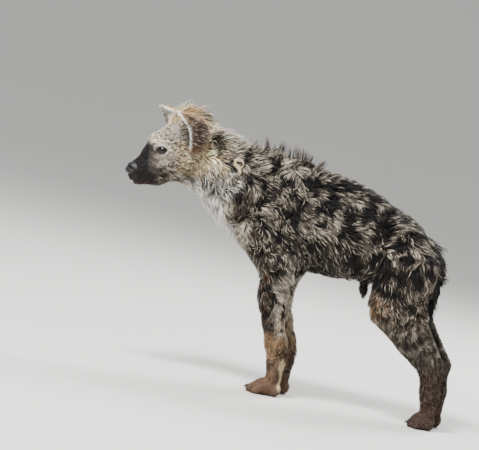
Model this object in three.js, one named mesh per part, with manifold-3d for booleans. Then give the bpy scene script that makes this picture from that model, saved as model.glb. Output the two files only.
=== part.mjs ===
// A young spotted hyena, standing, as a life-size model. Millimetres, +Z up, facing -X, its left side at -Y.
// The flesh is one smooth field of named tapered forms, meshed node by node and parted by thin plane cuts.
// Long hair is flat tapered locks, set on the flesh along the lie of the coat.
import * as THREE from "three";
import { mergeVertices } from "three/addons/utils/BufferGeometryUtils.js";
import Module from "manifold-3d";

const wasm = await Module();
wasm.setup();

// Driving sizes
const GAP = 0.35; // kept between touching nodes
const LEFT = -1;
const RIGHT = 1;
const SIDES = [LEFT, RIGHT];
const FAR_FORE_STEP = 27; // the right foreleg stands this far behind the left one
const FAR_HIND_STEP = 28;
const HEAD_YAW = THREE.MathUtils.degToRad(20); // the head is turned to its left
const HEAD_PIVOT_X = -600;
const EYE_RADIUS = 13.6;
const BIG = 4000;

const sideName = (side) => (side === LEFT ? "left" : "right");

// Seeded random draws, so that every build is the same
function randomDraws(seed) {
  let state = seed;
  return () => {
    state = (state * 1664525 + 1013904223) % 4294967296;
    return state / 4294967296;
  };
}

// Field forms: each returns a signed distance, negative inside
function taper([ax, ay, az], [bx, by, bz], radiusA, radiusB, breadth = 1) {
  const dx = bx - ax;
  const dy = (by - ay) / breadth;
  const dz = bz - az;
  const lengthSquared = dx * dx + dy * dy + dz * dz || 1;
  return (x, y, z) => {
    const px = x - ax;
    const py = (y - ay) / breadth;
    const pz = z - az;
    const along = Math.min(1, Math.max(0, (px * dx + py * dy + pz * dz) / lengthSquared));
    const away = Math.hypot(px - along * dx, py - along * dy, pz - along * dz);
    return away - radiusA - along * (radiusB - radiusA);
  };
}

function chain(stations, breadth = 1) {
  return stations.slice(1).map((to, i) => {
    const from = stations[i];
    return taper(from.at, to.at, from.r, to.r, breadth);
  });
}

function blend(softness, forms) {
  return (x, y, z) => {
    let distance = forms[0](x, y, z);
    for (let i = 1; i < forms.length; i += 1) {
      const next = forms[i](x, y, z);
      const near = Math.max(softness - Math.abs(distance - next), 0) / softness;
      distance = Math.min(distance, next) - (near * near * softness) / 4;
    }
    return distance;
  };
}

const grown = (field, by) => (x, y, z) => field(x, y, z) - by;

function slopeOf(field, [x, y, z], step = 1) {
  return new THREE.Vector3(
    field(x + step, y, z) - field(x - step, y, z),
    field(x, y + step, z) - field(x, y - step, z),
    field(x, y, z + step) - field(x, y, z - step),
  );
}

// Moves a point along the field's slope until it lies on the surface
function settle(field, point) {
  for (let i = 0; i < 4; i += 1) {
    const slope = slopeOf(field, point).divideScalar(2);
    const steep = Math.max(slope.lengthSq(), 0.04);
    const move = -field(...point) / steep;
    point[0] += slope.x * move;
    point[1] += slope.y * move;
    point[2] += slope.z * move;
  }
  return point;
}

// The two directions of each kind of grid square
const SQUARES = [
  [[1, 0, 0], [0, 1, 0]],
  [[0, 1, 0], [0, 0, 1]],
  [[0, 0, 1], [1, 0, 0]],
];

// Meshes the zero surface of a field inside a box: one vertex for each cell that the surface crosses
function surfaceNet(field, low, high, cell) {
  const counts = [0, 1, 2].map((k) => Math.ceil((high[k] - low[k]) / cell[k]));
  const [nx, ny, nz] = counts;
  const corner = (i, j, k) => (i * (ny + 1) + j) * (nz + 1) + k;
  const values = new Float32Array((nx + 1) * (ny + 1) * (nz + 1));
  const place = (i, j, k) => [low[0] + i * cell[0], low[1] + j * cell[1], low[2] + k * cell[2]];
  for (let i = 0; i <= nx; i += 1) {
    for (let j = 0; j <= ny; j += 1) {
      for (let k = 0; k <= nz; k += 1) {
        const edge = i === 0 || j === 0 || k === 0 || i === nx || j === ny || k === nz;
        const value = field(...place(i, j, k));
        values[corner(i, j, k)] = edge ? Math.max(value, 0.5) : value || 1e-3;
      }
    }
  }
  // A grid square with crosswise signs would leave four faces on one edge: its weakest outer corner goes in
  for (let changed = true; changed; ) {
    changed = false;
    for (let i = 1; i < nx - 1; i += 1) {
      for (let j = 1; j < ny - 1; j += 1) {
        for (let k = 1; k < nz - 1; k += 1) {
          for (const [u, v] of SQUARES) {
            const square = [[0, 0], [1, 0], [1, 1], [0, 1]].map(([a, b]) =>
              corner(i + a * u[0] + b * v[0], j + a * u[1] + b * v[1], k + a * u[2] + b * v[2]),
            );
            const [a, b, c, d] = square.map((id) => values[id] < 0);
            if (a !== c || b !== d || a === b) continue;
            const outer = square.filter((id) => values[id] > 0).sort((m, n) => values[m] - values[n]);
            values[outer[0]] = -0.01;
            changed = true;
          }
        }
      }
    }
  }
  const vertices = [];
  const cellVertex = new Map();
  const EDGES = [];
  for (let a = 0; a < 8; a += 1) {
    for (const bit of [1, 2, 4]) if (!(a & bit)) EDGES.push([a, a | bit]);
  }
  for (let i = 0; i < nx; i += 1) {
    for (let j = 0; j < ny; j += 1) {
      for (let k = 0; k < nz; k += 1) {
        const at = (c) => [i + (c & 1), j + ((c >> 1) & 1), k + ((c >> 2) & 1)];
        const sum = [0, 0, 0];
        let crossings = 0;
        const atBorder = i === 0 || j === 0 || k === 0 || i === nx - 1 || j === ny - 1 || k === nz - 1;
        for (const [a, b] of EDGES) {
          const va = values[corner(...at(a))];
          const vb = values[corner(...at(b))];
          if (va < 0 === vb < 0) continue;
          const share = va / (va - vb);
          const pa = place(...at(a));
          const pb = place(...at(b));
          for (let d = 0; d < 3; d += 1) sum[d] += pa[d] + share * (pb[d] - pa[d]);
          crossings += 1;
        }
        if (!crossings) continue;
        let point = sum.map((s) => s / crossings);
        if (!atBorder) {
          const settled = settle(field, [...point]);
          const inside = settled.every((s, d) => {
            const start = place(i, j, k)[d];
            return s > start - 0.3 * cell[d] && s < start + 1.3 * cell[d];
          });
          if (inside) point = settled;
        }
        cellVertex.set(corner(i, j, k), vertices.length / 3);
        vertices.push(...point);
      }
    }
  }
  const faces = [];
  const far = (a, b) =>
    Math.hypot(...[0, 1, 2].map((d) => vertices[3 * a + d] - vertices[3 * b + d]));
  const quad = (ids, flip) => {
    const [a, b, c, d] = flip ? [...ids].reverse() : ids;
    if (far(a, c) <= far(b, d)) faces.push(a, b, c, a, c, d);
    else faces.push(a, b, d, b, c, d);
  };
  for (let i = 0; i < nx; i += 1) {
    for (let j = 0; j < ny; j += 1) {
      for (let k = 0; k < nz; k += 1) {
        const here = values[corner(i, j, k)] < 0;
        const cells = (...offsets) => offsets.map(([a, b, c]) => cellVertex.get(corner(i - a, j - b, k - c)));
        if (j && k && here !== values[corner(i + 1, j, k)] < 0)
          quad(cells([0, 1, 1], [0, 0, 1], [0, 0, 0], [0, 1, 0]), !here);
        if (i && k && here !== values[corner(i, j + 1, k)] < 0)
          quad(cells([1, 0, 1], [1, 0, 0], [0, 0, 0], [0, 0, 1]), !here);
        if (i && j && here !== values[corner(i, j, k + 1)] < 0)
          quad(cells([1, 1, 0], [0, 1, 0], [0, 0, 0], [1, 0, 0]), !here);
      }
    }
  }
  const geometry = new THREE.BufferGeometry();
  geometry.setAttribute("position", new THREE.BufferAttribute(new Float32Array(vertices), 3));
  geometry.setIndex(faces);
  return geometry;
}

// A closed surface as a solid that can be joined and cut, and back
function solidOf(geometry) {
  const bare = geometry.clone();
  for (const name of Object.keys(bare.attributes)) if (name !== "position") bare.deleteAttribute(name);
  const merged = mergeVertices(bare, 1e-3);
  return new wasm.Manifold(
    new wasm.Mesh({
      numProp: 3,
      vertProperties: merged.attributes.position.array,
      triVerts: new Uint32Array(merged.index.array),
    }),
  );
}

function largest(solid) {
  return solid.decompose().reduce((best, next) => (next.volume() > best.volume() ? next : best));
}

// Corners nearer to each other than the weld are made one, and the slivers between them go
const WELD = 0.004;
function geometryOf(solid) {
  const mesh = solid.getMesh();
  const welded = new Map();
  const vertices = [];
  const ids = [];
  for (let i = 0; i < mesh.numVert; i += 1) {
    const at = mesh.vertProperties.subarray(i * mesh.numProp, i * mesh.numProp + 3);
    const key = Array.from(at, (value) => Math.round(value / WELD)).join(" ");
    if (!welded.has(key)) {
      welded.set(key, vertices.length / 3);
      vertices.push(...at);
    }
    ids.push(welded.get(key));
  }
  const faces = [];
  for (let i = 0; i < mesh.triVerts.length; i += 3) {
    const [a, b, c] = [0, 1, 2].map((k) => ids[mesh.triVerts[i + k]]);
    if (a !== b && b !== c && c !== a) faces.push(a, b, c);
  }
  const geometry = new THREE.BufferGeometry();
  geometry.setAttribute("position", new THREE.BufferAttribute(new Float32Array(vertices), 3));
  geometry.setIndex(faces);
  geometry.computeVertexNormals();
  return geometry;
}

// The solid on the far side of a plane, as a big box, set back by a margin
function beyond({ at, facing }, margin = 0) {
  const normal = new THREE.Vector3(...facing).normalize();
  const box = new THREE.BoxGeometry(BIG, BIG, BIG);
  box.applyMatrix4(new THREE.Matrix4().makeTranslation(0, 0, BIG / 2 + margin));
  box.applyQuaternion(new THREE.Quaternion().setFromUnitVectors(new THREE.Vector3(0, 0, 1), normal));
  box.translate(...at);
  return solidOf(box);
}

// Keeps what lies behind each plane
function trim(solid, planes, margin = -GAP / 2) {
  return planes.reduce((left, plane) => left.subtract(beyond(plane, margin)), solid);
}

const flipped = ({ at, facing }) => ({ at, facing: facing.map((f) => -f) });

function block(planes, margin) {
  return trim(solidOf(new THREE.BoxGeometry(BIG, BIG, BIG)), planes, margin);
}

// Trunk: breadth is the width as a share of the height
const TRUNK = [
  ...chain(
    [
      { at: [-290, 0, 540], r: 126 },
      { at: [-180, 0, 531], r: 127 },
      { at: [-90, 0, 526], r: 120 },
    ],
    0.78,
  ),
  ...chain([{ at: [-90, 0, 526], r: 118 }, { at: [30, 0, 504], r: 97 }], 0.84),
  ...chain([{ at: [30, 0, 502], r: 92 }, { at: [98, 0, 474], r: 74 }], 0.95),
];
const NECK = chain(
  [
    { at: [-612, -6, 652], r: 66 },
    { at: [-520, 0, 616], r: 74 },
    { at: [-400, 0, 566], r: 98 },
    { at: [-330, 0, 542], r: 114 },
  ],
  0.86,
);
const TOE_OFFSETS = [-1.5, -0.5, 0.5, 1.5]; // across the paw, in shares of its spread
const OUTER_TOE_SHORTER = 15;
const TAIL_STATIONS = [
  { at: [142, 0, 528], r: 24 },
  { at: [176, 0, 482], r: 19 },
  { at: [183, 0, 400], r: 15 },
  { at: [184, 0, 340], r: 10 },
];

function pawForms({ heel, ball, toe, y, outward, toeRadius, spread }) {
  const toes = TOE_OFFSETS.map((o) => {
    const shorter = Math.abs(o) > 1 ? OUTER_TOE_SHORTER : 0;
    return taper(
      [ball, y + 0.62 * spread * o, 30],
      [toe + shorter + toeRadius, y + spread * o + 2 * outward, 11.5],
      toeRadius + 3,
      toeRadius,
      0.85,
    );
  });
  const pad = taper([heel, y, 21], [ball, y, 21], 25, 27, 1.15);
  return { toes, pad };
}

function foreLeg(side) {
  const back = side === RIGHT ? FAR_FORE_STEP : 0;
  const y = (value) => side * value;
  const shoulder = [
    taper([-282, y(48), 640], [-352, y(64), 480], 48, 58),
    taper([-356, y(66), 462], [-280 + back / 3, y(76), 392], 56, 56),
    taper([-270, y(54), 560], [-252 + back / 3, y(70), 420], 62, 52),
  ];
  const limb = chain([
    { at: [-276 + back / 2, y(76), 376], r: 52 },
    { at: [-283 + 0.7 * back, y(72), 290], r: 33 },
    { at: [-264 + back, y(68), 222], r: 28 },
    { at: [-241 + back, y(64), 158], r: 29 },
    { at: [-228 + back, y(62), 104], r: 23 },
    { at: [-226 + back, y(61), 52], r: 25 },
  ]);
  const carpalPad = taper([-216 + back, y(62), 140], [-208 + back, y(62), 128], 11, 9);
  const paw = pawForms({
    heel: -220 + back,
    ball: -250 + back,
    toe: -302 + back,
    y: y(61),
    outward: side,
    toeRadius: 14,
    spread: 20,
  });
  const lower = blend(9, [blend(14, [...limb.slice(1), carpalPad]), blend(12, [paw.pad, ...paw.toes])]);
  return blend(22, [blend(24, shoulder), limb[0], lower]);
}

function hindLeg(side) {
  const back = side === RIGHT ? FAR_HIND_STEP : 0;
  const y = (value) => side * value;
  const thigh = [
    taper([70, y(52), 512], [98, y(62), 455], 62, 70),
    taper([92, y(64), 455], [68 + back / 3, y(72), 350], 78, 58),
    taper([116, y(50), 448], [126 + back / 2, y(60), 345], 50, 42),
  ];
  const shank = chain([
    { at: [72 + back / 2, y(76), 322], r: 50 },
    { at: [150 + 0.8 * back, y(68), 252], r: 40 },
    { at: [224 + back, y(62), 184], r: 31 },
  ]);
  const tendon = taper([150 + 0.8 * back, y(60), 318], [248 + back, y(60), 192], 26, 15);
  const foot = chain([
    { at: [228 + back, y(62), 176], r: 31 },
    { at: [240 + back, y(62), 110], r: 25 },
    { at: [246 + back, y(62), 52], r: 25 },
  ]);
  const paw = pawForms({
    heel: 250 + back,
    ball: 228 + back,
    toe: 191 + back,
    y: y(62),
    outward: side,
    toeRadius: 12.5,
    spread: 17,
  });
  const lower = blend(9, [blend(14, [...shank, tendon, ...foot]), blend(12, [paw.pad, ...paw.toes])]);
  return blend(24, [blend(26, thigh), lower]);
}

// Head forms in the head's own frame: the first number runs back from the nose, the second is across
const HEAD_FORMS = [
  taper([-50, 0, 698], [-98, 0, 668], 54, 42, 1.14), // cranium
  taper([-116, 0, 664], [-136, 0, 630], 33, 25, 1.0), // forehead and stop
  taper([-120, 0, 616], [-168, 0, 577], 37, 25, 1.0), // muzzle
  taper([-186, 0, 579], [-190, 0, 572], 13, 13, 1.3), // nose
  taper([-160, 0, 556], [-104, 0, 568], 23, 27, 1.2), // lower jaw
  taper([-104, 0, 580], [-40, 0, 612], 31, 38, 1.2), // angle of the jaw
  taper([-50, 0, 612], [0, 0, 624], 43, 60, 1.0), // throat
];
const sideForms = (side) => [
  taper([-98, side * 32, 630], [-40, side * 40, 630], 30, 42), // cheek
  taper([-124, side * 24, 665], [-96, side * 38, 668], 17, 16), // brow
  taper([-112, side * 26, 602], [-160, side * 14, 568], 25, 19), // whisker pad
];

function fromHead(field) {
  const c = Math.cos(HEAD_YAW);
  const s = Math.sin(HEAD_YAW);
  return (x, y, z) => field((x - HEAD_PIVOT_X) * c + y * s, -(x - HEAD_PIVOT_X) * s + y * c, z);
}

function toHead(field) {
  const c = Math.cos(HEAD_YAW);
  const s = Math.sin(HEAD_YAW);
  return (p, q, z) => field(HEAD_PIVOT_X + p * c - q * s, p * s + q * c, z);
}

const headField = blend(16, [...HEAD_FORMS, ...sideForms(LEFT), ...sideForms(RIGHT)]);
const trunkField = blend(40, [...TRUNK, ...NECK]);
const legFields = SIDES.flatMap((side) => [foreLeg(side), hindLeg(side)]);
const tailField = blend(14, chain(TAIL_STATIONS));
const tailRoot = taper(TAIL_STATIONS[0].at, TAIL_STATIONS[1].at, TAIL_STATIONS[0].r, TAIL_STATIONS[1].r);
const bodyField = blend(26, [blend(30, [trunkField, ...legFields, tailRoot]), fromHead(headField)]);

// Planes that part the nodes: each faces out of the first node named
const planeHeadNeck = { at: [-604, 0, 650], facing: [0.94, 0.1, -0.28] };
const planeNeckChest = { at: [-402, 0, 560], facing: [0.93, 0, -0.36] };
const planeChestBelly = { at: [-165, 0, 530], facing: [1, 0, 0] };
const planeBellyRump = { at: [26, 0, 500], facing: [0.99, 0, -0.08] };
const planeTailBase = { at: [163, 0, 505], facing: [-0.6, 0, 0.8] };
const planeFloor = { at: [0, 0, -GAP / 2], facing: [0, 0, -1] };
const planeNose = { at: [-187, 0, 575], facing: [-1, 0, 0.12] };

function foreLegPlanes(side) {
  return [
    { at: [0, side * 34, 380], facing: [0, -side, 0.3] },
    { at: [-420, 0, 450], facing: [-1, 0, 0.05] },
    { at: [-196, 0, 450], facing: [1, 0, 0.12] },
  ];
}

function hindLegPlanes(side) {
  return [
    { at: [0, side * 8, 360], facing: [0, -side, 0.42] },
    { at: [0, 0, 380], facing: [-1, 0, 0.3] },
  ];
}

// A closed tube through stations, each with its middle, half width, half thickness and the way it faces
function sweep(stations, sides, looped = false) {
  const count = stations.length;
  const vertices = [];
  const faces = [];
  const ringStart = [];
  stations.forEach((station, i) => {
    const before = stations[looped ? (i + count - 1) % count : Math.max(i - 1, 0)].at;
    const after = stations[looped ? (i + 1) % count : Math.min(i + 1, count - 1)].at;
    const along = new THREE.Vector3().subVectors(after, before).normalize();
    const across = new THREE.Vector3().crossVectors(station.facing, along).normalize();
    const up = new THREE.Vector3().crossVectors(along, across).normalize();
    ringStart.push(vertices.length / 3);
    if (station.width === 0) {
      vertices.push(...station.at.toArray());
      return;
    }
    for (let k = 0; k < sides; k += 1) {
      const turn = (2 * Math.PI * (k + 0.25)) / sides;
      const point = station.at
        .clone()
        .addScaledVector(across, Math.cos(turn) * station.width)
        .addScaledVector(up, Math.sin(turn) * station.thick);
      vertices.push(...point.toArray());
    }
  });
  const links = looped ? count : count - 1;
  for (let i = 0; i < links; i += 1) {
    const a = ringStart[i];
    const b = ringStart[(i + 1) % count];
    const next = stations[(i + 1) % count];
    for (let k = 0; k < sides; k += 1) {
      const n = (k + 1) % sides;
      if (next.width === 0) faces.push(a + k, a + n, b);
      else if (stations[i].width === 0) faces.push(a, b + n, b + k);
      else faces.push(a + k, a + n, b + n, a + k, b + n, b + k);
    }
  }
  if (!looped) {
    const last = count - 1;
    const firstRing = ringStart[0];
    const lastRing = ringStart[last];
    for (let k = 1; k < sides - 1; k += 1) {
      if (stations[0].width !== 0) faces.push(firstRing, firstRing + k + 1, firstRing + k);
      if (stations[last].width !== 0) faces.push(lastRing, lastRing + k, lastRing + k + 1);
    }
  }
  const geometry = new THREE.BufferGeometry();
  geometry.setAttribute("position", new THREE.BufferAttribute(new Float32Array(vertices), 3));
  geometry.setIndex(faces);
  return geometry;
}

const vector = (x, y, z) => new THREE.Vector3(x, y, z);

// Joins a sweep or shape to a solid, whichever way round its faces came
function shape(geometry) {
  const solid = solidOf(geometry);
  if (solid.volume() > 0) return solid;
  const turned = geometry.clone();
  const index = Array.from(turned.index.array);
  for (let i = 0; i < index.length; i += 3) [index[i], index[i + 1]] = [index[i + 1], index[i]];
  turned.setIndex(index);
  return solidOf(turned);
}

// Ears: a cup rolled round its own axis, thin at the rim
const EAR_BASE = [-22, 58, 682];
const EAR_TIP = [-106, 84, 778];
const EAR_OPENS = [-0.98, -0.1, -0.1];
const EAR_STAGES = [
  { t: 0, r: 32, half: 112, thick: 7 },
  { t: 0.22, r: 46, half: 102, thick: 6 },
  { t: 0.46, r: 48, half: 92, thick: 5 },
  { t: 0.7, r: 38, half: 82, thick: 4 },
  { t: 0.88, r: 22, half: 72, thick: 3.2 },
  { t: 1, r: 9, half: 60, thick: 2.6 },
];
const EAR_SECTORS = 7;
const EAR_ROOT = 0.22;

function earFrame(side) {
  const base = vector(EAR_BASE[0], side * EAR_BASE[1], EAR_BASE[2]);
  const tip = vector(EAR_TIP[0], side * EAR_TIP[1], EAR_TIP[2]);
  const axis = tip.clone().sub(base);
  const up = axis.clone().normalize();
  const opens = vector(EAR_OPENS[0], side * EAR_OPENS[1], EAR_OPENS[2]);
  opens.addScaledVector(up, -opens.dot(up)).normalize();
  const across = new THREE.Vector3().crossVectors(up, opens);
  return { base, axis, up, opens, across };
}

function earCup(side) {
  const { base, axis, opens, across } = earFrame(side);
  const vertices = [];
  const faces = [];
  const columns = EAR_SECTORS + 1;
  const layer = columns * EAR_STAGES.length;
  for (const inner of [0, 1]) {
    for (const { t, r, half, thick } of EAR_STAGES) {
      for (let c = 0; c < columns; c += 1) {
        const turn = THREE.MathUtils.degToRad(half) * ((2 * c) / EAR_SECTORS - 1);
        const radius = r - inner * thick * (1 - 0.45 * Math.abs((2 * c) / EAR_SECTORS - 1));
        const lean = 12 * Math.sin(Math.PI * t);
        const point = base
          .clone()
          .addScaledVector(axis, t - inner * 0.02 * (t === 1 ? 1 : 0))
          .addScaledVector(opens, 14 - lean - Math.cos(turn) * radius)
          .addScaledVector(across, Math.sin(turn) * radius);
        vertices.push(...point.toArray());
      }
    }
  }
  const at = (inner, row, c) => inner * layer + row * columns + c;
  const quad = (a, b, c, d) => faces.push(a, b, c, a, c, d);
  const lastRow = EAR_STAGES.length - 1;
  for (let row = 0; row < lastRow; row += 1) {
    for (let c = 0; c < EAR_SECTORS; c += 1) {
      quad(at(0, row, c), at(0, row, c + 1), at(0, row + 1, c + 1), at(0, row + 1, c));
      quad(at(1, row, c), at(1, row + 1, c), at(1, row + 1, c + 1), at(1, row, c + 1));
    }
    const end = EAR_SECTORS;
    quad(at(0, row, 0), at(0, row + 1, 0), at(1, row + 1, 0), at(1, row, 0));
    quad(at(0, row, end), at(1, row, end), at(1, row + 1, end), at(0, row + 1, end));
  }
  for (let c = 0; c < EAR_SECTORS; c += 1) {
    quad(at(0, 0, c), at(1, 0, c), at(1, 0, c + 1), at(0, 0, c + 1));
    quad(at(0, lastRow, c), at(0, lastRow, c + 1), at(1, lastRow, c + 1), at(1, lastRow, c));
  }
  const geometry = new THREE.BufferGeometry();
  geometry.setAttribute("position", new THREE.BufferAttribute(new Float32Array(vertices), 3));
  geometry.setIndex(faces);
  return shape(geometry);
}

// Where a walk from inside along a direction leaves a field
function leaves(field, from, direction, reach = 120) {
  const point = from.clone();
  for (let walked = 0; walked < reach; walked += 0.5) {
    if (field(...point.toArray()) > 0) break;
    point.addScaledVector(direction, 0.5);
  }
  return point;
}

// Eyes and lids
const EYE_FROM = [-100, 12, 645];
const EYE_FACING = [-0.46, 0.88, 0.1];
const EYE_STANDS_OUT = 4.5;
const LID_HALF_LENGTH = 13.4;
const LID_HALF_HEIGHT = 10.2;

function eyePlace(side) {
  const facing = vector(EYE_FACING[0], side * EYE_FACING[1], EYE_FACING[2]).normalize();
  const rim = leaves(headField, vector(EYE_FROM[0], side * EYE_FROM[1], EYE_FROM[2]), facing);
  const middle = rim.clone().addScaledVector(facing, EYE_STANDS_OUT - EYE_RADIUS);
  const along = new THREE.Vector3().crossVectors(vector(0, 0, 1), facing).normalize();
  const up = new THREE.Vector3().crossVectors(facing, along);
  return { middle, facing, along, up };
}

function lids(side) {
  const { middle, facing, along, up } = eyePlace(side);
  const stations = [];
  const count = 12;
  for (let i = 0; i < count; i += 1) {
    const turn = (2 * Math.PI * i) / count;
    const a = LID_HALF_LENGTH * Math.cos(turn);
    const b = LID_HALF_HEIGHT * Math.sin(turn);
    const out = Math.sqrt((EYE_RADIUS + 1.2) ** 2 - a * a - b * b);
    const at = middle.clone().addScaledVector(facing, out).addScaledVector(along, a).addScaledVector(up, b);
    const heavy = Math.sin(turn) > 0 ? 3.4 : 2.6;
    stations.push({ at, width: heavy, thick: 2.4, facing: at.clone().sub(middle).normalize() });
  }
  return shape(sweep(stations, 4, true));
}

function ball(radius, middle, detail) {
  const geometry = new THREE.IcosahedronGeometry(radius, detail);
  geometry.translate(middle.x, middle.y, middle.z);
  return solidOf(geometry);
}

// Mouth: its line on the side of the head, from the front to the corner, and the cut that frees the lower jaw
const MOUTH_LINE = [
  [-230, 537],
  [-168, 541],
  [-132, 553],
  [-111, 570],
  [-95, 585],
];
const JAW_OUTLINE = [...MOUTH_LINE, [-72, 556], [-62, 490], [-230, 490]];

function jawBlock() {
  const outline = new THREE.Shape(JAW_OUTLINE.map(([p, z]) => new THREE.Vector2(p, z)));
  const geometry = new THREE.ExtrudeGeometry(outline, { depth: 240, bevelEnabled: false });
  geometry.rotateX(Math.PI / 2);
  geometry.translate(0, 120, 0);
  return shape(geometry);
}

function lip(side, lift, width) {
  const stations = [];
  for (let i = 0; i <= 5; i += 1) {
    const t = i / 5;
    const p = -172 + 76 * t;
    const z = 540.6 + 6 * t + 38 * t ** 2.2 + lift;
    const spot = leaves(headField, vector(p, 0, z), vector(0, side, 0));
    const facing = slopeOf(headField, spot.toArray()).normalize();
    spot.addScaledVector(facing, -1.2);
    stations.push({ at: spot, width: width * (1 - 0.35 * t), thick: 2.6 * (1 - 0.3 * t), facing });
  }
  return shape(sweep(stations, 4));
}

// Nose pad: nostrils as curled slots
function nostril(side) {
  const stations = [];
  for (let i = 0; i <= 4; i += 1) {
    const turn = THREE.MathUtils.degToRad(-60 + 62 * i);
    const q = side * (9.5 + 4.6 * Math.cos(turn));
    const z = 579 + 4.2 * Math.sin(turn);
    const front = leaves(headField, vector(-180, q, z), vector(-1, 0, 0));
    stations.push({ at: front, width: 1.9, thick: 3.6, facing: vector(-1, side * 0.4, 0).normalize() });
  }
  return shape(sweep(stations, 4));
}

// Claws: short blunt cones set in seats at the front of each toe
const CLAW_LENGTH = 15;
const CLAW_SEAT = 5.5; // how far the claw's root sits inside the toe's front
function claw({ root, forward, drop }, extra = 0) {
  const facing = vector(0, 0, 1);
  const stations = [0, 0.45, 1].map((t) => {
    const x = root[0] - forward * CLAW_LENGTH * t + 2 * extra * (1 - t);
    const slender = 1 - 0.62 * t;
    const at = vector(x, root[1], root[2] - drop * t * t);
    return { at, width: 3.2 * slender + extra, thick: 4 * slender + extra, facing };
  });
  return shape(sweep(stations, 4));
}

function clawSpots({ toeX, y, spread, toeRadius, back, outward }) {
  return TOE_OFFSETS.map((o) => ({
    root: [
      toeX + back + (Math.abs(o) > 1 ? OUTER_TOE_SHORTER : 0) + CLAW_SEAT,
      y + spread * o + 2 * outward,
      toeRadius + 3,
    ],
    forward: 0.95,
    drop: 6.5,
  }));
}

// Locks of long hair. Each follows the flesh from its root, rises to its tip and swings a little at random.
const LOCK_STEPS = [
  { along: 0, lift: 0, width: 0.7 },
  { along: 0.38, lift: 0.42, width: 1 },
  { along: 0.74, lift: 0.86, width: 0.72 },
  { along: 1, lift: 1, width: 0 },
];
const LOCK_ROOT_DEPTH = 9;
const draw = randomDraws(14);
const about = (value, share) => value * (1 + share * (2 * draw() - 1));

function lock(root, { length, width, rise, lie, thick = 5 }) {
  const reach = about(length, 0.14);
  const top = about(rise, 0.2);
  const half = about(width, 0.12) / 2;
  const stations = [];
  let point = root.clone();
  let normal = slopeOf(bodyField, point.toArray(), 3).normalize();
  const flow = lie.clone().addScaledVector(normal, -lie.dot(normal)).normalize();
  flow.applyAxisAngle(normal, 0.24 * (draw() - 0.5));
  let walked = 0;
  for (const step of LOCK_STEPS) {
    point.addScaledVector(flow, step.along * reach - walked);
    point = vector(...settle(bodyField, point.toArray()));
    walked = step.along * reach;
    normal = slopeOf(bodyField, point.toArray(), 3).normalize();
    flow.addScaledVector(normal, -flow.dot(normal)).normalize();
    const height = step.along === 0 ? -LOCK_ROOT_DEPTH : step.lift * top;
    stations.push({
      at: point.clone().addScaledVector(normal, height),
      width: step.width * half,
      thick: thick * (0.5 + 0.5 * step.width),
      facing: normal.clone().negate(),
    });
  }
  return { stations, geometry: sweep(stations, 3) };
}

// Roots round the trunk: evenly spaced points of a ring on the flesh, every second row set over by half
function ringOfRoots(middle, axis, spacing, shift, from = -90, to = 270) {
  const up = vector(0, 0, 1).addScaledVector(axis, -axis.z).normalize();
  const across = new THREE.Vector3().crossVectors(axis, up);
  const ring = [];
  for (let angle = from; angle <= to; angle += 6) {
    const turn = THREE.MathUtils.degToRad(angle);
    const direction = up.clone().multiplyScalar(Math.sin(turn)).addScaledVector(across, Math.cos(turn));
    ring.push(leaves(bodyField, middle, direction, 190));
  }
  const roots = [];
  let walked = -shift * spacing;
  for (let i = 1; i < ring.length; i += 1) {
    const step = ring[i].distanceTo(ring[i - 1]);
    if (step < spacing && walked <= 0 && walked + step > 0) {
      roots.push(ring[i - 1].clone().lerp(ring[i], -walked / step));
      walked -= spacing;
    }
    walked += Math.min(step, spacing * 0.99);
  }
  return roots;
}

// The way the hair lies: back along the spine, back and down on the sides
function trunkLie(point) {
  const side = Math.min(1, Math.abs(point.y) / 70);
  const low = THREE.MathUtils.clamp((560 - point.z) / 160, 0, 1);
  if (point.x < -430) return vector(0.8, 0, -0.15 - 0.75 * side);
  return vector(1, 0, 0.02 - side * (0.45 + 0.45 * low));
}

const TRUNK_ROWS = [
  { at: [-556, 0, 630], length: 92, width: 54, rise: 21 },
  { at: [-488, 0, 602], length: 98, width: 58, rise: 24 },
  { at: [-418, 0, 574], length: 102, width: 62, rise: 23 },
  { at: [-348, 0, 549], length: 104, width: 64, rise: 19 },
  { at: [-274, 0, 538], length: 108, width: 66, rise: 17 },
  { at: [-200, 0, 533], length: 108, width: 66, rise: 16 },
  { at: [-126, 0, 528], length: 108, width: 66, rise: 16 },
  { at: [-52, 0, 518], length: 106, width: 64, rise: 16 },
  { at: [20, 0, 505], length: 98, width: 60, rise: 15 },
  { at: [86, 0, 486], length: 80, width: 52, rise: 13 },
];
const MANE_ROOTS = [
  { x: -664, rise: 50, length: 24, width: 40 },
  { x: -642, rise: 46, length: 36, width: 44 },
  { x: -616, rise: 42, length: 46, width: 46 },
  { x: -588, rise: 42, length: 54, width: 46 },
  { x: -558, rise: 48, length: 60, width: 46 },
  { x: -526, rise: 48, length: 62, width: 46 },
  { x: -492, rise: 48, length: 64, width: 46 },
  { x: -458, rise: 54, length: 62, width: 46 },
  { x: -424, rise: 68, length: 54, width: 42 },
  { x: -390, rise: 72, length: 50, width: 40 },
  { x: -352, rise: 60, length: 60, width: 44 },
  { x: -312, rise: 46, length: 66, width: 46 },
  { x: -270, rise: 38, length: 70, width: 46 },
  { x: -226, rise: 32, length: 72, width: 46 },
];
const MANE_HALF_GAP = 8;
const MANE_ROOT_DEPTH = 16;

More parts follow.
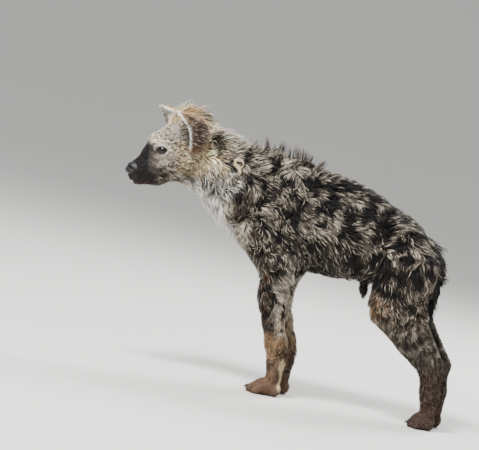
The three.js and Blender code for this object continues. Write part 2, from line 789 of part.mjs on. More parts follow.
// A lock of the mane stands on edge along the nape, and leans back to its tip
function maneLock({ x, rise, length, width }, side) {
  const root = leaves(bodyField, vector(x, side * MANE_HALF_GAP, 600), vector(0, 0, 1), 220);
  const top = about(rise, 0.08);
  const stations = LOCK_STEPS.map(({ along, width: share }) => ({
    at: vector(
      root.x + length * (0.3 * along + 0.7 * along * along),
      root.y + side * 5 * along,
      root.z - MANE_ROOT_DEPTH + (top + MANE_ROOT_DEPTH) * along,
    ),
    width: (share * width) / 2,
    thick: 6 * (0.4 + 0.6 * share),
    facing: vector(0, side, 0),
  }));
  return { stations, geometry: sweep(stations, 3) };
}

const LEG_ROWS = [
  { at: [88, 54, 436], length: 90, width: 58, rise: 13, reach: [-70, 85] },
  { at: [82, 60, 368], length: 78, width: 54, rise: 12, reach: [-80, 90] },
];

const THIGH_LIE = vector(0.36, 0, -0.93);

const nearSheath = (p) => Math.abs(p.y) < 45 && p.x > -130 && p.x < 30 && p.z < 440;
const nearTail = (p) => Math.abs(p.y) < 48 && p.x > 120;
const locks = [];

TRUNK_ROWS.forEach((row, i) => {
  const next = TRUNK_ROWS[Math.min(i + 1, TRUNK_ROWS.length - 1)];
  const before = TRUNK_ROWS[Math.max(i - 1, 0)];
  const axis = vector(...next.at).sub(vector(...before.at)).normalize();
  for (const root of ringOfRoots(vector(...row.at), axis, row.width * 1.06, 0.25 + 0.5 * (i % 2))) {
    const onLeg = root.z < 400 && Math.abs(root.y) > 40 && (root.x < -190 || root.x > 20);
    if (onLeg || nearSheath(root) || nearTail(root)) continue;
    const flank = Math.min(1, Math.abs(root.y) / 60);
    const rise = row.rise * (root.z < 480 ? 1.15 : 1);
    locks.push(lock(root, { ...row, rise, lie: trunkLie(root), thick: 4 + flank }));
  }
});

for (const row of LEG_ROWS) {
  for (const side of SIDES) {
    const middle = vector(row.at[0], side * row.at[1], row.at[2]);
    const roots = [];
    for (let angle = row.reach[0]; angle <= row.reach[1]; angle += 3) {
      const turn = THREE.MathUtils.degToRad(angle);
      const spot = leaves(bodyField, middle, vector(Math.sin(turn), side * Math.cos(turn), 0), 150);
      if (!roots.length || spot.distanceTo(roots[roots.length - 1]) > row.width * 0.96) roots.push(spot);
    }
    for (const root of roots) if (!nearTail(root)) locks.push(lock(root, { ...row, lie: THIGH_LIE }));
  }
}

MANE_ROOTS.forEach((spot, i) => locks.push(maneLock(spot, i % 2 ? LEFT : RIGHT)));

// The tail's brush: locks that hang from its sides
const BRUSH_ROOTS = [
  { z: 452, turn: 20 },
  { z: 440, turn: 160 },
  { z: 404, turn: 90 },
  { z: 392, turn: -40 },
  { z: 384, turn: 215 },
];
const BRUSH = { length: 76, width: 26, spread: 9, depth: 9 };

function brushLock({ z, turn }) {
  const angle = THREE.MathUtils.degToRad(turn);
  const out = vector(Math.sin(angle), Math.cos(angle), 0);
  const root = leaves(tailField, vector(z > 400 ? 180 : 184, 0, z), out, 40);
  const stations = LOCK_STEPS.map(({ along, lift, width }) => ({
    at: vector(root.x, root.y, root.z - along * BRUSH.length).addScaledVector(
      out,
      lift * BRUSH.spread - (1 - along) * BRUSH.depth,
    ),
    width: (width * BRUSH.width) / 2,
    thick: 5 * (0.5 + 0.5 * width),
    facing: out,
  }));
  return shape(sweep(stations, 3));
}

const lockSolids = locks.map(({ geometry }) => shape(geometry));
const boxOf = (geometry) => new THREE.Box3().setFromBufferAttribute(geometry.attributes.position);
const lockBoxes = locks.map(({ geometry }) => boxOf(geometry));

// The flesh in a box with every lock that enters the box, as one solid
function haired(solid, low, high) {
  const box = new THREE.Box3(vector(...low), vector(...high));
  const near = lockSolids.filter((_, i) => box.intersectsBox(lockBoxes[i]));
  return near.length ? wasm.Manifold.union([solid, ...near]) : solid;
}

const materials = {
  coat: new THREE.MeshStandardMaterial({ color: 0x6b6258, roughness: 0.95, metalness: 0 }),
  mane: new THREE.MeshStandardMaterial({ color: 0xa8916f, roughness: 0.95, metalness: 0 }),
  face: new THREE.MeshStandardMaterial({ color: 0x8a7a68, roughness: 0.9, metalness: 0 }),
  foot: new THREE.MeshStandardMaterial({ color: 0x5b4334, roughness: 0.9, metalness: 0 }),
  leather: new THREE.MeshStandardMaterial({ color: 0x1c1a1b, roughness: 0.5, metalness: 0 }),
  eye: new THREE.MeshStandardMaterial({ color: 0x120d0a, roughness: 0.08, metalness: 0 }),
  claw: new THREE.MeshStandardMaterial({ color: 0x2a2420, roughness: 0.4, metalness: 0 }),
};

const hyena = new THREE.Group();
const headGroup = new THREE.Group();
headGroup.position.x = HEAD_PIVOT_X;
headGroup.rotation.z = HEAD_YAW;
hyena.add(headGroup);

function addNode(name, solid, material, parent = hyena) {
  const mesh = new THREE.Mesh(geometryOf(largest(solid)), material);
  mesh.name = name;
  parent.add(mesh);
}

function flesh(low, high, cell, planes) {
  return trim(haired(solidOf(surfaceNet(bodyField, low, high, cell)), low, high), planes);
}

const foreBlocks = SIDES.map((side) => block(foreLegPlanes(side), GAP / 2));
const hindBlocks = SIDES.map((side) => block(hindLegPlanes(side), GAP / 2));
const legBlocks = [...foreBlocks, ...hindBlocks];
const withoutLegs = (solid) => legBlocks.reduce((left, leg) => left.subtract(leg), solid);

// Trunk nodes
const neckPlanes = [flipped(planeHeadNeck), planeNeckChest];
const chestPlanes = [flipped(planeNeckChest), planeChestBelly];
const bellyPlanes = [flipped(planeChestBelly), planeBellyRump];
const rumpPlanes = [flipped(planeBellyRump), flipped(planeTailBase)];
const neck = flesh([-700, -150, 380], [-340, 150, 830], [42, 36, 36], neckPlanes);
const chest = flesh([-480, -160, 330], [-120, 160, 780], [46, 40, 40], chestPlanes);
const belly = flesh([-220, -160, 330], [90, 160, 750], [44, 38, 38], bellyPlanes);
const rump = flesh([-50, -170, 300], [240, 170, 660], [36, 34, 34], rumpPlanes);
addNode("neck", withoutLegs(neck), materials.mane);
addNode("chest", withoutLegs(chest), materials.coat);
addNode("belly", withoutLegs(belly), materials.coat);
addNode("rump", withoutLegs(rump), materials.coat);

const sheathField = blend(8, [
  taper([-24, 0, 410], [-18, 0, 366], 15, 12, 0.9),
  taper([-18, 0, 366], [-12, 0, 345], 12, 7, 0.9),
]);
const sheath = solidOf(surfaceNet(sheathField, [-60, -40, 320], [30, 40, 440], [9, 9, 13]));
addNode("sheath", sheath.subtract(belly).subtract(belly.translate([0, 0, -GAP])), materials.leather);

const tailCore = solidOf(surfaceNet(tailField, [90, -50, 300], [240, 50, 580], [13, 13, 24]));
const tail = wasm.Manifold.union([tailCore, ...BRUSH_ROOTS.map(brushLock)]);
addNode("tail", trim(tail, [planeTailBase]), materials.coat);

// Legs, each in three nodes, with four claws to a foot
const planeElbow = { at: [-275, 0, 342], facing: [0.1, 0, -1] };
const planeCarpus = { at: [-235, 0, 128], facing: [0.2, 0, -1] };
const planeKnee = { at: [112, 0, 300], facing: [0.75, 0, -0.66] };
const planeHock = { at: [240, 0, 142], facing: [0.1, 0, -1] };

for (const side of SIDES) {
  const name = sideName(side);
  const [inner, outer] = side === LEFT ? [-185, 20] : [-20, 185];
  const fore = foreLegPlanes(side);
  const hind = hindLegPlanes(side);
  const upperArm = flesh([-450, inner, 300], [-160, outer, 740], [33, 30, 34], [...fore, planeElbow]);
  const forearm = flesh(
    [-360, inner, 100],
    [-160, outer, 380],
    [19, 19, 36],
    [...fore, flipped(planeElbow), planeCarpus],
  );
  const thigh = flesh([-40, inner, 240], [240, outer, 640], [33, 30, 34], [...hind, planeKnee]);
  const shankPlanes = [...hind, flipped(planeKnee), planeHock];
  const shank = flesh([20, inner, 110], [330, outer, 370], [22, 20, 26], shankPlanes);
  addNode(`upper_arm_${name}`, upperArm, materials.coat);
  addNode(`forearm_${name}`, forearm, materials.foot);
  addNode(`thigh_${name}`, thigh, materials.coat);
  addNode(`shank_${name}`, shank, materials.coat);

  const foreClaws = clawSpots({
    toeX: -302,
    y: side * 61,
    spread: 20,
    toeRadius: 14,
    back: side === RIGHT ? FAR_FORE_STEP : 0,
    outward: side,
  });
  const hindClaws = clawSpots({
    toeX: 191,
    y: side * 62,
    spread: 17,
    toeRadius: 12.5,
    back: side === RIGHT ? FAR_HIND_STEP : 0,
    outward: side,
  });
  const forefoot = flesh(
    [-330, inner, -60],
    [-140, outer, 170],
    [17, 14, 18],
    [...fore, flipped(planeCarpus), planeFloor],
  );
  const hindfootPlanes = [...hind, flipped(planeHock), planeFloor];
  const hindfoot = flesh([160, inner, -60], [330, outer, 170], [17, 13, 18], hindfootPlanes);
  const seated = (foot, spots) => spots.reduce((left, spot) => left.subtract(claw(spot, GAP)), foot);
  addNode(`forefoot_${name}`, seated(forefoot, foreClaws), materials.foot);
  addNode(`hindfoot_${name}`, seated(hindfoot, hindClaws), materials.foot);
  foreClaws.forEach((spot, i) => addNode(`fore_claw_${name}_${i + 1}`, claw(spot), materials.claw));
  hindClaws.forEach((spot, i) => addNode(`hind_claw_${name}_${i + 1}`, claw(spot), materials.claw));
}

// Head nodes, in the head's own frame
const cosYaw = Math.cos(HEAD_YAW);
const sinYaw = Math.sin(HEAD_YAW);
const planeHeadNeckTurned = {
  at: [
    (planeHeadNeck.at[0] - HEAD_PIVOT_X) * cosYaw,
    -(planeHeadNeck.at[0] - HEAD_PIVOT_X) * sinYaw,
    planeHeadNeck.at[2],
  ],
  facing: [
    planeHeadNeck.facing[0] * cosYaw + planeHeadNeck.facing[1] * sinYaw,
    -planeHeadNeck.facing[0] * sinYaw + planeHeadNeck.facing[1] * cosYaw,
    planeHeadNeck.facing[2],
  ],
};

function earTip(side) {
  const { base, axis, up } = earFrame(side);
  const at = base.clone().addScaledVector(axis, EAR_ROOT).toArray();
  return beyond({ at, facing: up.toArray() });
}

function turnedToHead(solid) {
  return solid.translate([-HEAD_PIVOT_X, 0, 0]).rotate([0, 0, -THREE.MathUtils.radToDeg(HEAD_YAW)]);
}

const bareSkull = solidOf(surfaceNet(toHead(bodyField), [-225, -130, 500], [70, 130, 830], [15, 16, 15]));
const headBox = new THREE.Box3(vector(-830, -150, 500), vector(-560, 150, 860));
const headLocks = lockSolids.filter((_, i) => headBox.intersectsBox(lockBoxes[i])).map(turnedToHead);
const skull = trim(wasm.Manifold.union([bareSkull, ...headLocks]), [planeHeadNeckTurned]);
const nosePad = trim(skull, [flipped(planeNose)]);
let head = trim(skull, [planeNose]);
for (const side of SIDES) {
  const cup = earCup(side);
  const tipBlock = earTip(side);
  const { up } = earFrame(side);
  const gap = up.clone().multiplyScalar(GAP).toArray();
  const ear = cup.intersect(tipBlock.translate(gap)).subtract(skull);
  addNode(`ear_${sideName(side)}`, ear, materials.face, headGroup);
  head = head.add(cup.subtract(tipBlock)).add(lids(side));
}
for (const side of SIDES) {
  const { middle } = eyePlace(side);
  head = head.subtract(ball(EYE_RADIUS * 1.075 + GAP, middle, 1));
  addNode(`eye_${sideName(side)}`, ball(EYE_RADIUS, middle, 2), materials.eye, headGroup);
}
const jaw = jawBlock();
let upper = head.subtract(jaw);
let lower = head.intersect(jaw.translate([-0.1, 0, -0.45]));
for (const side of SIDES) {
  upper = upper.add(lip(side, 2.6, 2.6).subtract(jaw));
  lower = lower.add(lip(side, -2.8, 2.2).intersect(jaw.translate([-0.1, 0, -0.45])));
}
addNode("head", upper, materials.face, headGroup);
addNode("lower_jaw", lower, materials.face, headGroup);
addNode("nose", nosePad.subtract(nostril(LEFT)).subtract(nostril(RIGHT)), materials.leather, headGroup);

// The origin is the middle of the animal's box, at floor level
hyena.updateMatrixWorld(true);
const extent = new THREE.Box3().setFromObject(hyena, true);
const centre = extent.getCenter(vector(0, 0, 0));
hyena.position.set(-centre.x, -centre.y, -extent.min.z);
hyena.updateMatrixWorld(true);
export default hyena;
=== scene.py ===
import math

import bmesh
import bpy
import numpy as np
from mathutils import Matrix, Vector
from mathutils.kdtree import KDTree


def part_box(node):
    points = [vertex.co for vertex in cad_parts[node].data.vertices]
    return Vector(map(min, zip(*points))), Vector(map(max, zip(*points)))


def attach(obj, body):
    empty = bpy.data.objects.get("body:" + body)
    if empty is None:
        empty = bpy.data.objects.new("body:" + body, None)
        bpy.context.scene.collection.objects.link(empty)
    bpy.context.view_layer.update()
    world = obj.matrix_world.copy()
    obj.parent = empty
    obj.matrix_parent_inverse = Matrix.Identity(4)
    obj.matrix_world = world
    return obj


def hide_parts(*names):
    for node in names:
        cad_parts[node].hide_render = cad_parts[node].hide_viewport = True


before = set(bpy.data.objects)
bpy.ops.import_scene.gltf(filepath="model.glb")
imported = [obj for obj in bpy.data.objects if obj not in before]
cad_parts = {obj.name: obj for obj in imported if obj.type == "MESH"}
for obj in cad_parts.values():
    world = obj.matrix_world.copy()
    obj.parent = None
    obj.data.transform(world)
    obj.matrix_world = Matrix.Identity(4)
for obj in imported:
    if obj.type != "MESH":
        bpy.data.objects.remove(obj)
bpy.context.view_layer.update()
bpy.ops.object.select_all(action="DESELECT")
draw = np.random.default_rng(41)

# Where the animal's own measure lies in the frame: the claws' places are known in both
MM = 0.001
LEFT, RIGHT = -1, 1
SIDES = (LEFT, RIGHT)
SIDE_NAMES = {LEFT: "left", RIGHT: "right"}
CLAW_ROOT_X = -296.5
SHIFT_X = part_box("fore_claw_left_2")[1].x / MM - CLAW_ROOT_X
SHIFT_Y = (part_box("fore_claw_left_1")[0].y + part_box("fore_claw_right_4")[1].y) / 2 / MM
SHIFT = np.array([SHIFT_X, SHIFT_Y, 0.0])


def in_frame(points):
    return (np.asarray(points, float) + SHIFT) * MM


def corners_of(mesh):
    flat = np.empty(3 * len(mesh.vertices), np.float32)
    mesh.vertices.foreach_get("co", flat)
    return flat.reshape(-1, 3).astype(float)


def points_of(piece):
    return corners_of(piece.data) / MM - SHIFT


def set_points(piece, points):
    piece.data.vertices.foreach_set("co", in_frame(points).astype(np.float32).ravel())
    piece.data.update()


def unit_points():
    """The active primitive's own points, as it was added at the origin with unit size."""
    return corners_of(bpy.context.object.data)


def normalized(vectors):
    return vectors / np.maximum(np.linalg.norm(vectors, axis=-1, keepdims=True), 1e-9)


def smooth(values, low, high):
    t = np.clip((values - low) / (high - low), 0, 1)
    return t * t * (3 - 2 * t)


def ripple(points, size, seed):
    """Smooth noise of about -1 to 1, with swells of about the given size."""
    seeded = np.random.default_rng(seed)
    total = np.zeros(len(points))
    for _ in range(8):
        way = normalized(seeded.normal(size=3))
        wave = size * seeded.uniform(0.7, 1.6)
        total += np.sin(points @ way * (2 * math.pi / wave) + seeded.uniform(0, 2 * math.pi))
    return total / 2.4


# Forms of the flesh: tapered round-ended cones, in the animal's own millimetres
class Taper:
    def __init__(self, a, b, radius_a, radius_b, breadth=1.0):
        self.a, self.b = np.array(a, float), np.array(b, float)
        self.radii = (radius_a, radius_b)
        self.breadth = breadth

    def __call__(self, p):
        dx, dy, dz = self.b - self.a
        dy /= self.breadth
        px = p[0] - self.a[0]
        py = (p[1] - self.a[1]) / self.breadth
        pz = p[2] - self.a[2]
        along = np.clip((px * dx + py * dy + pz * dz) / (dx * dx + dy * dy + dz * dz), 0, 1)
        away = np.sqrt((px - along * dx) ** 2 + (py - along * dy) ** 2 + (pz - along * dz) ** 2)
        return away - self.radii[0] - along * (self.radii[1] - self.radii[0])


def chain(stations, breadth=1.0):
    return [Taper(a[0], b[0], a[1], b[1], breadth) for a, b in zip(stations, stations[1:])]


def distances(forms, p):
    return [form(p) for form in forms]


def soft_union(softness, values):
    distance = values[0]
    for following in values[1:]:
        near = np.maximum(softness - np.abs(distance - following), 0) / softness
        distance = np.minimum(distance, following) - near * near * softness / 4
    return distance


TRUNK = (
    chain([((-290, 0, 540), 126), ((-180, 0, 531), 127), ((-90, 0, 526), 120)], 0.78)
    + chain([((-90, 0, 526), 118), ((30, 0, 504), 97)], 0.84)
    + chain([((30, 0, 502), 92), ((98, 0, 474), 74)], 0.95)
)
NECK = chain([((-612, -6, 652), 66), ((-520, 0, 616), 74), ((-400, 0, 566), 98), ((-330, 0, 542), 114)], 0.86)
TAIL = chain([((142, 0, 528), 24), ((176, 0, 482), 19), ((183, 0, 400), 15), ((184, 0, 340), 10)])
SHEATH = [
    Taper((-24, 0, 410), (-18, 0, 366), 15, 12, 0.9),
    Taper((-18, 0, 366), (-12, 0, 345), 12, 7, 0.9),
]
FAR_FORE_STEP = 27
FAR_HIND_STEP = 28
TOE_OFFSETS = (-1.5, -0.5, 0.5, 1.5)


def paw_forms(heel, ball, toe, y, side, toe_radius, spread):
    forms = [Taper((heel, y, 21), (ball, y, 21), 25, 27, 1.15)]
    for o in TOE_OFFSETS:
        tip_x = toe + (15 if abs(o) > 1 else 0) + toe_radius
        root, tip = (ball, y + 0.62 * spread * o, 30), (tip_x, y + spread * o + 2 * side, 11.5)
        forms.append(Taper(root, tip, toe_radius + 3, toe_radius, 0.85))
    return forms


def fore_leg(side):
    back = FAR_FORE_STEP if side == RIGHT else 0
    shoulder = [
        Taper((-282, side * 48, 640), (-352, side * 64, 480), 48, 58),
        Taper((-356, side * 66, 462), (-280 + back / 3, side * 76, 392), 56, 56),
        Taper((-270, side * 54, 560), (-252 + back / 3, side * 70, 420), 62, 52),
    ]
    limb = chain(
        [
            ((-276 + back / 2, side * 76, 376), 52),
            ((-283 + 0.7 * back, side * 72, 290), 33),
            ((-264 + back, side * 68, 222), 28),
            ((-241 + back, side * 64, 158), 29),
            ((-228 + back, side * 62, 104), 23),
            ((-226 + back, side * 61, 52), 25),
        ]
    )
    wrist = limb[1:] + [Taper((-216 + back, side * 62, 140), (-208 + back, side * 62, 128), 11, 9)]
    paw = paw_forms(-220 + back, -250 + back, -302 + back, side * 61, side, 14, 20)
    return {"upper": shoulder, "joint": [limb[0]], "limb": wrist, "paw": paw, "soft": (24, 22)}


def hind_leg(side):
    back = FAR_HIND_STEP if side == RIGHT else 0
    thigh = [
        Taper((70, side * 52, 512), (98, side * 62, 455), 62, 70),
        Taper((92, side * 64, 455), (68 + back / 3, side * 72, 350), 78, 58),
        Taper((116, side * 50, 448), (126 + back / 2, side * 60, 345), 50, 42),
    ]
    shank = chain(
        [
            ((72 + back / 2, side * 76, 322), 50),
            ((150 + 0.8 * back, side * 68, 252), 40),
            ((224 + back, side * 62, 184), 31),
        ]
    )
    tendon = Taper((150 + 0.8 * back, side * 60, 318), (248 + back, side * 60, 192), 26, 15)
    foot = chain(
        [
            ((228 + back, side * 62, 176), 31),
            ((240 + back, side * 62, 110), 25),
            ((246 + back, side * 62, 52), 25),
        ]
    )
    paw = paw_forms(250 + back, 228 + back, 191 + back, side * 62, side, 12.5, 17)
    return {"upper": thigh, "joint": [], "limb": shank + [tendon] + foot, "paw": paw, "soft": (26, 24)}


FORE_LEGS = {side: fore_leg(side) for side in SIDES}
HIND_LEGS = {side: hind_leg(side) for side in SIDES}

# The head's forms are in the head's own frame: back from the nose, across, and up
HEAD_YAW = math.radians(20)
HEAD_PIVOT_X = -600
HEAD = [
    Taper((-50, 0, 698), (-98, 0, 668), 54, 42, 1.14),
    Taper((-116, 0, 664), (-136, 0, 630), 33, 25),
    Taper((-120, 0, 616), (-168, 0, 577), 37, 25),
    Taper((-186, 0, 579), (-190, 0, 572), 13, 13, 1.3),
    Taper((-160, 0, 556), (-104, 0, 568), 23, 27, 1.2),
    Taper((-104, 0, 580), (-40, 0, 612), 31, 38, 1.2),
    Taper((-50, 0, 612), (0, 0, 624), 43, 60),
]
for head_side in SIDES:
    HEAD.append(Taper((-98, head_side * 32, 630), (-40, head_side * 40, 630), 30, 42))
    HEAD.append(Taper((-124, head_side * 24, 665), (-96, head_side * 38, 668), 17, 16))
    HEAD.append(Taper((-112, head_side * 26, 602), (-160, head_side * 14, 568), 25, 19))


def to_head(points):
    x = points[..., 0] - HEAD_PIVOT_X
    y = points[..., 1]
    c, s = math.cos(HEAD_YAW), math.sin(HEAD_YAW)
    return np.stack([x * c + y * s, -x * s + y * c, points[..., 2]], -1)


def turn_from_head(vectors):
    c, s = math.cos(HEAD_YAW), math.sin(HEAD_YAW)
    p, q = vectors[..., 0], vectors[..., 1]
    return np.stack([p * c - q * s, p * s + q * c, vectors[..., 2]], -1)


def from_head(points):
    return turn_from_head(np.asarray(points, float)) + np.array([HEAD_PIVOT_X, 0.0, 0.0])


def head_distance(head_points):
    return soft_union(16, distances(HEAD, np.ascontiguousarray(head_points.T)))


# Regions of the coat: how deep the skin lies in the flesh, and the hair's length, height at its tip and room
REGIONS = ("head", "neck", "trunk", "shoulder", "forearm", "thigh", "shank", "tail", "sheath")
SKIN_DEPTH = np.array([3.0, 12, 12, 9, 2.6, 9, 2.6, 4, 2])
HAIR_LENGTH = np.array([12.0, 58, 54, 38, 20, 42, 20, 78, 9])
HAIR_RISE = np.array([5.0, 29, 26, 18, 7.5, 20, 7.5, 13, 3])
HAIR_WIDTH = np.array([1.4, 2.6, 2.7, 2.4, 2.0, 2.5, 2.0, 2.6, 1.4])
HAIR_ROOM = np.array([6.0, 13.5, 13.0, 13, 10, 13, 10, 11, 7])


def measure(points):
    """Distances to the whole flesh, and to each of its regions."""
    p = np.ascontiguousarray(points.T)
    trunk, neck, tail, sheath = (distances(forms, p) for forms in (TRUNK, NECK, TAIL, SHEATH))
    sheath = soft_union(8, sheath)
    legs = []
    uppers = {"fore": [], "hind": []}
    lowers = {"fore": [], "hind": []}
    for side in SIDES:
        for kind, leg in (("fore", FORE_LEGS[side]), ("hind", HIND_LEGS[side])):
            upper, joint, limb, paw = (distances(leg[key], p) for key in ("upper", "joint", "limb", "paw"))
            upper_soft, leg_soft = leg["soft"]
            lower = soft_union(9, [soft_union(14, limb), soft_union(12, paw)])
            legs.append(soft_union(leg_soft, [soft_union(upper_soft, upper), *joint, lower]))
            uppers[kind] += upper + joint
            lowers[kind].append(lower)
    head = head_distance(to_head(points))
    body = soft_union(30, [soft_union(40, trunk + neck), *legs, tail[0]])
    whole = soft_union(8, [soft_union(26, [body, head]), soft_union(14, tail), sheath])
    middle = [np.minimum.reduce(forms) for forms in (neck, trunk)]
    limbs = [np.minimum.reduce(forms[kind]) for kind in ("fore", "hind") for forms in (uppers, lowers)]
    return whole, np.array([head, *middle, *limbs, np.minimum.reduce(tail), sheath])


def shares(parts):
    """How much of each region a point belongs to."""
    weight = np.exp(-(parts - parts.min(0)) / 8)
    return (weight / weight.sum(0)).T


def skin_distance(points):
    whole, parts = measure(points)
    return whole + shares(parts) @ SKIN_DEPTH


def slope_of(distance, points, value, step):
    """The slope of a distance at points where its value is known."""
    slope = np.empty_like(points)
    for axis in range(3):
        moved = points.copy()
        moved[:, axis] += step
        slope[:, axis] = (distance(moved) - value) / step
    return slope


def settle(points, rounds=1, reach=60.0):
    """Moves points along the slope until they lie on the skin; also gives the way out."""
    slope = None
    for _ in range(rounds):
        value = skin_distance(points)
        slope = slope_of(skin_distance, points, value, 0.8)
        steep = np.maximum((slope**2).sum(1), 0.08)
        move = np.clip(-value / steep, -reach, reach)
        points = points + slope * move[:, None]
    return points, normalized(slope)


# Places on the head
EYE_RADIUS = 13.6
EYE_FROM = (-100, 12, 645)
EYE_FACING = (-0.46, 0.88, 0.1)
EYE_STANDS_OUT = 4.5
LID_HALF_LENGTH = 12.6
LID_HALF_HEIGHT = 10.0
MOUTH_FROM, MOUTH_REACH = -172, 76


def leaves_head(start, way, reach=120):
    """Where a walk from inside along a direction leaves the head."""
    walked = np.arange(0, reach, 0.25)[:, None]
    path = np.asarray(start, float) + walked * np.asarray(way, float)
    outside = np.argmax(head_distance(path) > 0)
    return path[outside]


def eye_place(side):
    facing = normalized(np.array([EYE_FACING[0], side * EYE_FACING[1], EYE_FACING[2]]))
    rim = leaves_head((EYE_FROM[0], side * EYE_FROM[1], EYE_FROM[2]), facing)
    middle = rim + facing * (EYE_STANDS_OUT - EYE_RADIUS)
    along = normalized(np.cross([0, 0, 1], facing))
    up = np.cross(facing, along)
    return middle, facing, along, up


EYES = {side: eye_place(side) for side in SIDES}


def from_eye(head_points, side):
    """How far points lie along the lids, above the eye's middle and out of it."""
    middle, facing, along, up = EYES[side]
    away = head_points - middle
    return away @ along, away @ up, away @ facing


def mouth_height(p):
    t = np.clip((p - MOUTH_FROM) / MOUTH_REACH, 0, 1)
    return 540.6 + 6 * t + 38 * t**2.2


def muzzle_fill(head_points):
    """The hide lies higher where the muzzle's hair is shortest."""
    return 2.0 * smooth(head_points[:, 0], -132, -158)


def from_nose_pad(head_points):
    """1 at the nose pad's rim, less inside it."""
    return np.linalg.norm((head_points - (-190, 0, 577)) / (21, 30, 19), axis=1)


def carve_head(points, out):
    """Sinks the mouth's line and the eye sockets into the skin, and raises lips, rims and folds."""
    h = to_head(points)
    p, q, z = h.T
    near_head = smooth(p, 40, 0)
    line = np.abs(z - mouth_height(p))
    on_mouth = smooth(p, -84, -98) * near_head * (head_distance(h) > -12)
    lift = on_mouth * (-3.4 * np.exp(-((line / 2.0) ** 2)) + 1.3 * np.exp(-(((line - 4.6) / 2.6) ** 2)))
    for side in SIDES:
        a, b, out_of = from_eye(h, side)
        ring = np.sqrt((a / LID_HALF_LENGTH) ** 2 + (b / LID_HALF_HEIGHT) ** 2)
        facing_it = out_of > 0
        lift += facing_it * (-9.0 * smooth(ring, 1.0, 0.72) + 3.0 * np.exp(-(((ring - 1.3) / 0.42) ** 2)))
        fold = np.hypot(a + 3, b + 17) + 0.25 * a
        lift += facing_it * -1.1 * np.exp(-((fold / 3.2) ** 2))
    lift += muzzle_fill(h)
    lift -= 12 * smooth(from_nose_pad(h), 1.04, 0.88)
    muzzle = smooth(p, -112, -126) * smooth(p, -184, -172) * smooth(z, 590, 602)
    lift += muzzle * 0.7 * np.sin(p * 0.9 + 0.6 * np.abs(q))
    return points + out * lift[:, None]


# Skin: balls along every form, made one by a voxel remesh and brought onto the surface
def active(piece):
    bpy.ops.object.select_all(action="DESELECT")
    piece.select_set(True)
    bpy.context.view_layer.objects.active = piece


def apply_modifier(piece, kind, **settings):
    active(piece)
    modifier = piece.modifiers.new(kind.title(), kind)
    for key, value in settings.items():
        setattr(modifier, key, value)
    bpy.ops.object.modifier_apply(modifier=modifier.name)


def ball_places(form, on_head):
    """Middles and radii of the balls that fill a form, and how far each is broadened."""
    length = np.linalg.norm(form.b - form.a)
    steps = max(1, math.ceil(length / (0.4 * min(form.radii))))
    t = np.linspace(0, 1, steps + 1)[:, None]
    middles = form.a + (form.b - form.a) * t
    radii = 0.86 * (form.radii[0] + (form.radii[1] - form.radii[0]) * t)
    return [(from_head(m) if on_head else m, r, form.breadth) for m, r in zip(middles, radii)]


def make_skin():
    bpy.ops.mesh.primitive_ico_sphere_add(subdivisions=2, radius=1, location=(0, 0, 0))
    skin = bpy.context.object
    skin.name = "skin"
    ball = unit_points()
    flat = np.empty(3 * len(skin.data.polygons), np.int32)
    skin.data.polygons.foreach_get("vertices", flat)
    places = []
    for form in TRUNK + NECK + TAIL + SHEATH:
        places += ball_places(form, False)
    for leg in (*FORE_LEGS.values(), *HIND_LEGS.values()):
        for form in leg["upper"] + leg["joint"] + leg["limb"] + leg["paw"]:
            places += ball_places(form, False)
    for form in HEAD:
        places += ball_places(form, True)
    balls = np.concatenate([middle + ball * radius * (1, breadth, 1) for middle, radius, breadth in places])
    faces = flat.reshape(-1, 3)[None] + len(ball) * np.arange(len(places))[:, None, None]
    joined = bpy.data.meshes.new("skin")
    joined.from_pydata(in_frame(balls).tolist(), [], faces.reshape(-1, 3).tolist())
    skin.data = joined
    for voxel in (0.008, 0.0047):
        apply_modifier(skin, "REMESH", mode="VOXEL", voxel_size=voxel)
        set_points(skin, settle(points_of(skin), 2)[0])
        apply_modifier(skin, "SMOOTH", factor=0.5, iterations=6)
        set_points(skin, settle(points_of(skin), 1)[0])
    refine_head(skin)
    points, out = settle(points_of(skin), 2)
    points = carve_head(points, out)
    points[:, 2] = np.maximum(points[:, 2], 0)
    set_points(skin, points)
    active(skin)
    bpy.ops.object.shade_smooth()
    return skin


def refine_head(skin):
    """Twice as fine a mesh on the face and round the mouth."""
    mesh = bmesh.new()
    mesh.from_mesh(skin.data)
    edges = set()
    face_back = in_frame(from_head((-10, 0, 640)))
    for face in mesh.faces:
        middle = face.calc_center_median()
        if middle.x < face_back[0] and middle.z > 0.5:
            edges.update(face.edges)
    bmesh.ops.subdivide_edges(mesh, edges=list(edges), cuts=1, use_grid_fill=True, smooth=0)
    mesh.to_mesh(skin.data)
    mesh.free()


# Markings: one painter for skin and coat, in linear colour from everyday values
def hue(red, green, blue):
    channel = np.array([red, green, blue]) / 255
    return np.where(channel <= 0.04045, channel / 12.92, ((channel + 0.055) / 1.055) ** 2.4)


GREY_BROWN = hue(88, 77, 64)
PALE_GREY = hue(226, 214, 194)
BLOND = hue(255, 230, 180)
CREAM_WHITE = hue(248, 244, 236)
SPOT_BLACK = hue(19, 17, 17)
DARK_GREY = hue(44, 38, 34)
RUMP_BROWN = hue(88, 74, 59)
RUST = hue(134, 90, 54)
MANE_ORANGE = hue(252, 206, 144)
SHANK_BROWN = hue(56, 48, 42)
FOOT_UMBER = hue(76, 57, 47)
FOOT_BROWN = hue(114, 88, 68)
CARPUS_GOLD = hue(182, 146, 106)
FOREHEAD = hue(240, 228, 204)
CHEEK_TAN = hue(255, 228, 180)
CROWN_TAN = hue(252, 208, 146)
JAW_GREY = hue(186, 172, 152)
MASK_BLACK = hue(50, 45, 42)
MASK_GREY = hue(92, 84, 78)
UNDER_EYE = hue(170, 158, 142)
BROW_PALE = hue(232, 226, 214)
LIP_RED = hue(88, 56, 46)
EAR_INSIDE = hue(240, 233, 216)
EAR_RIM = hue(244, 240, 228)
EAR_BACK = hue(84, 65, 53)
EAR_FRINGE = hue(206, 166, 122)
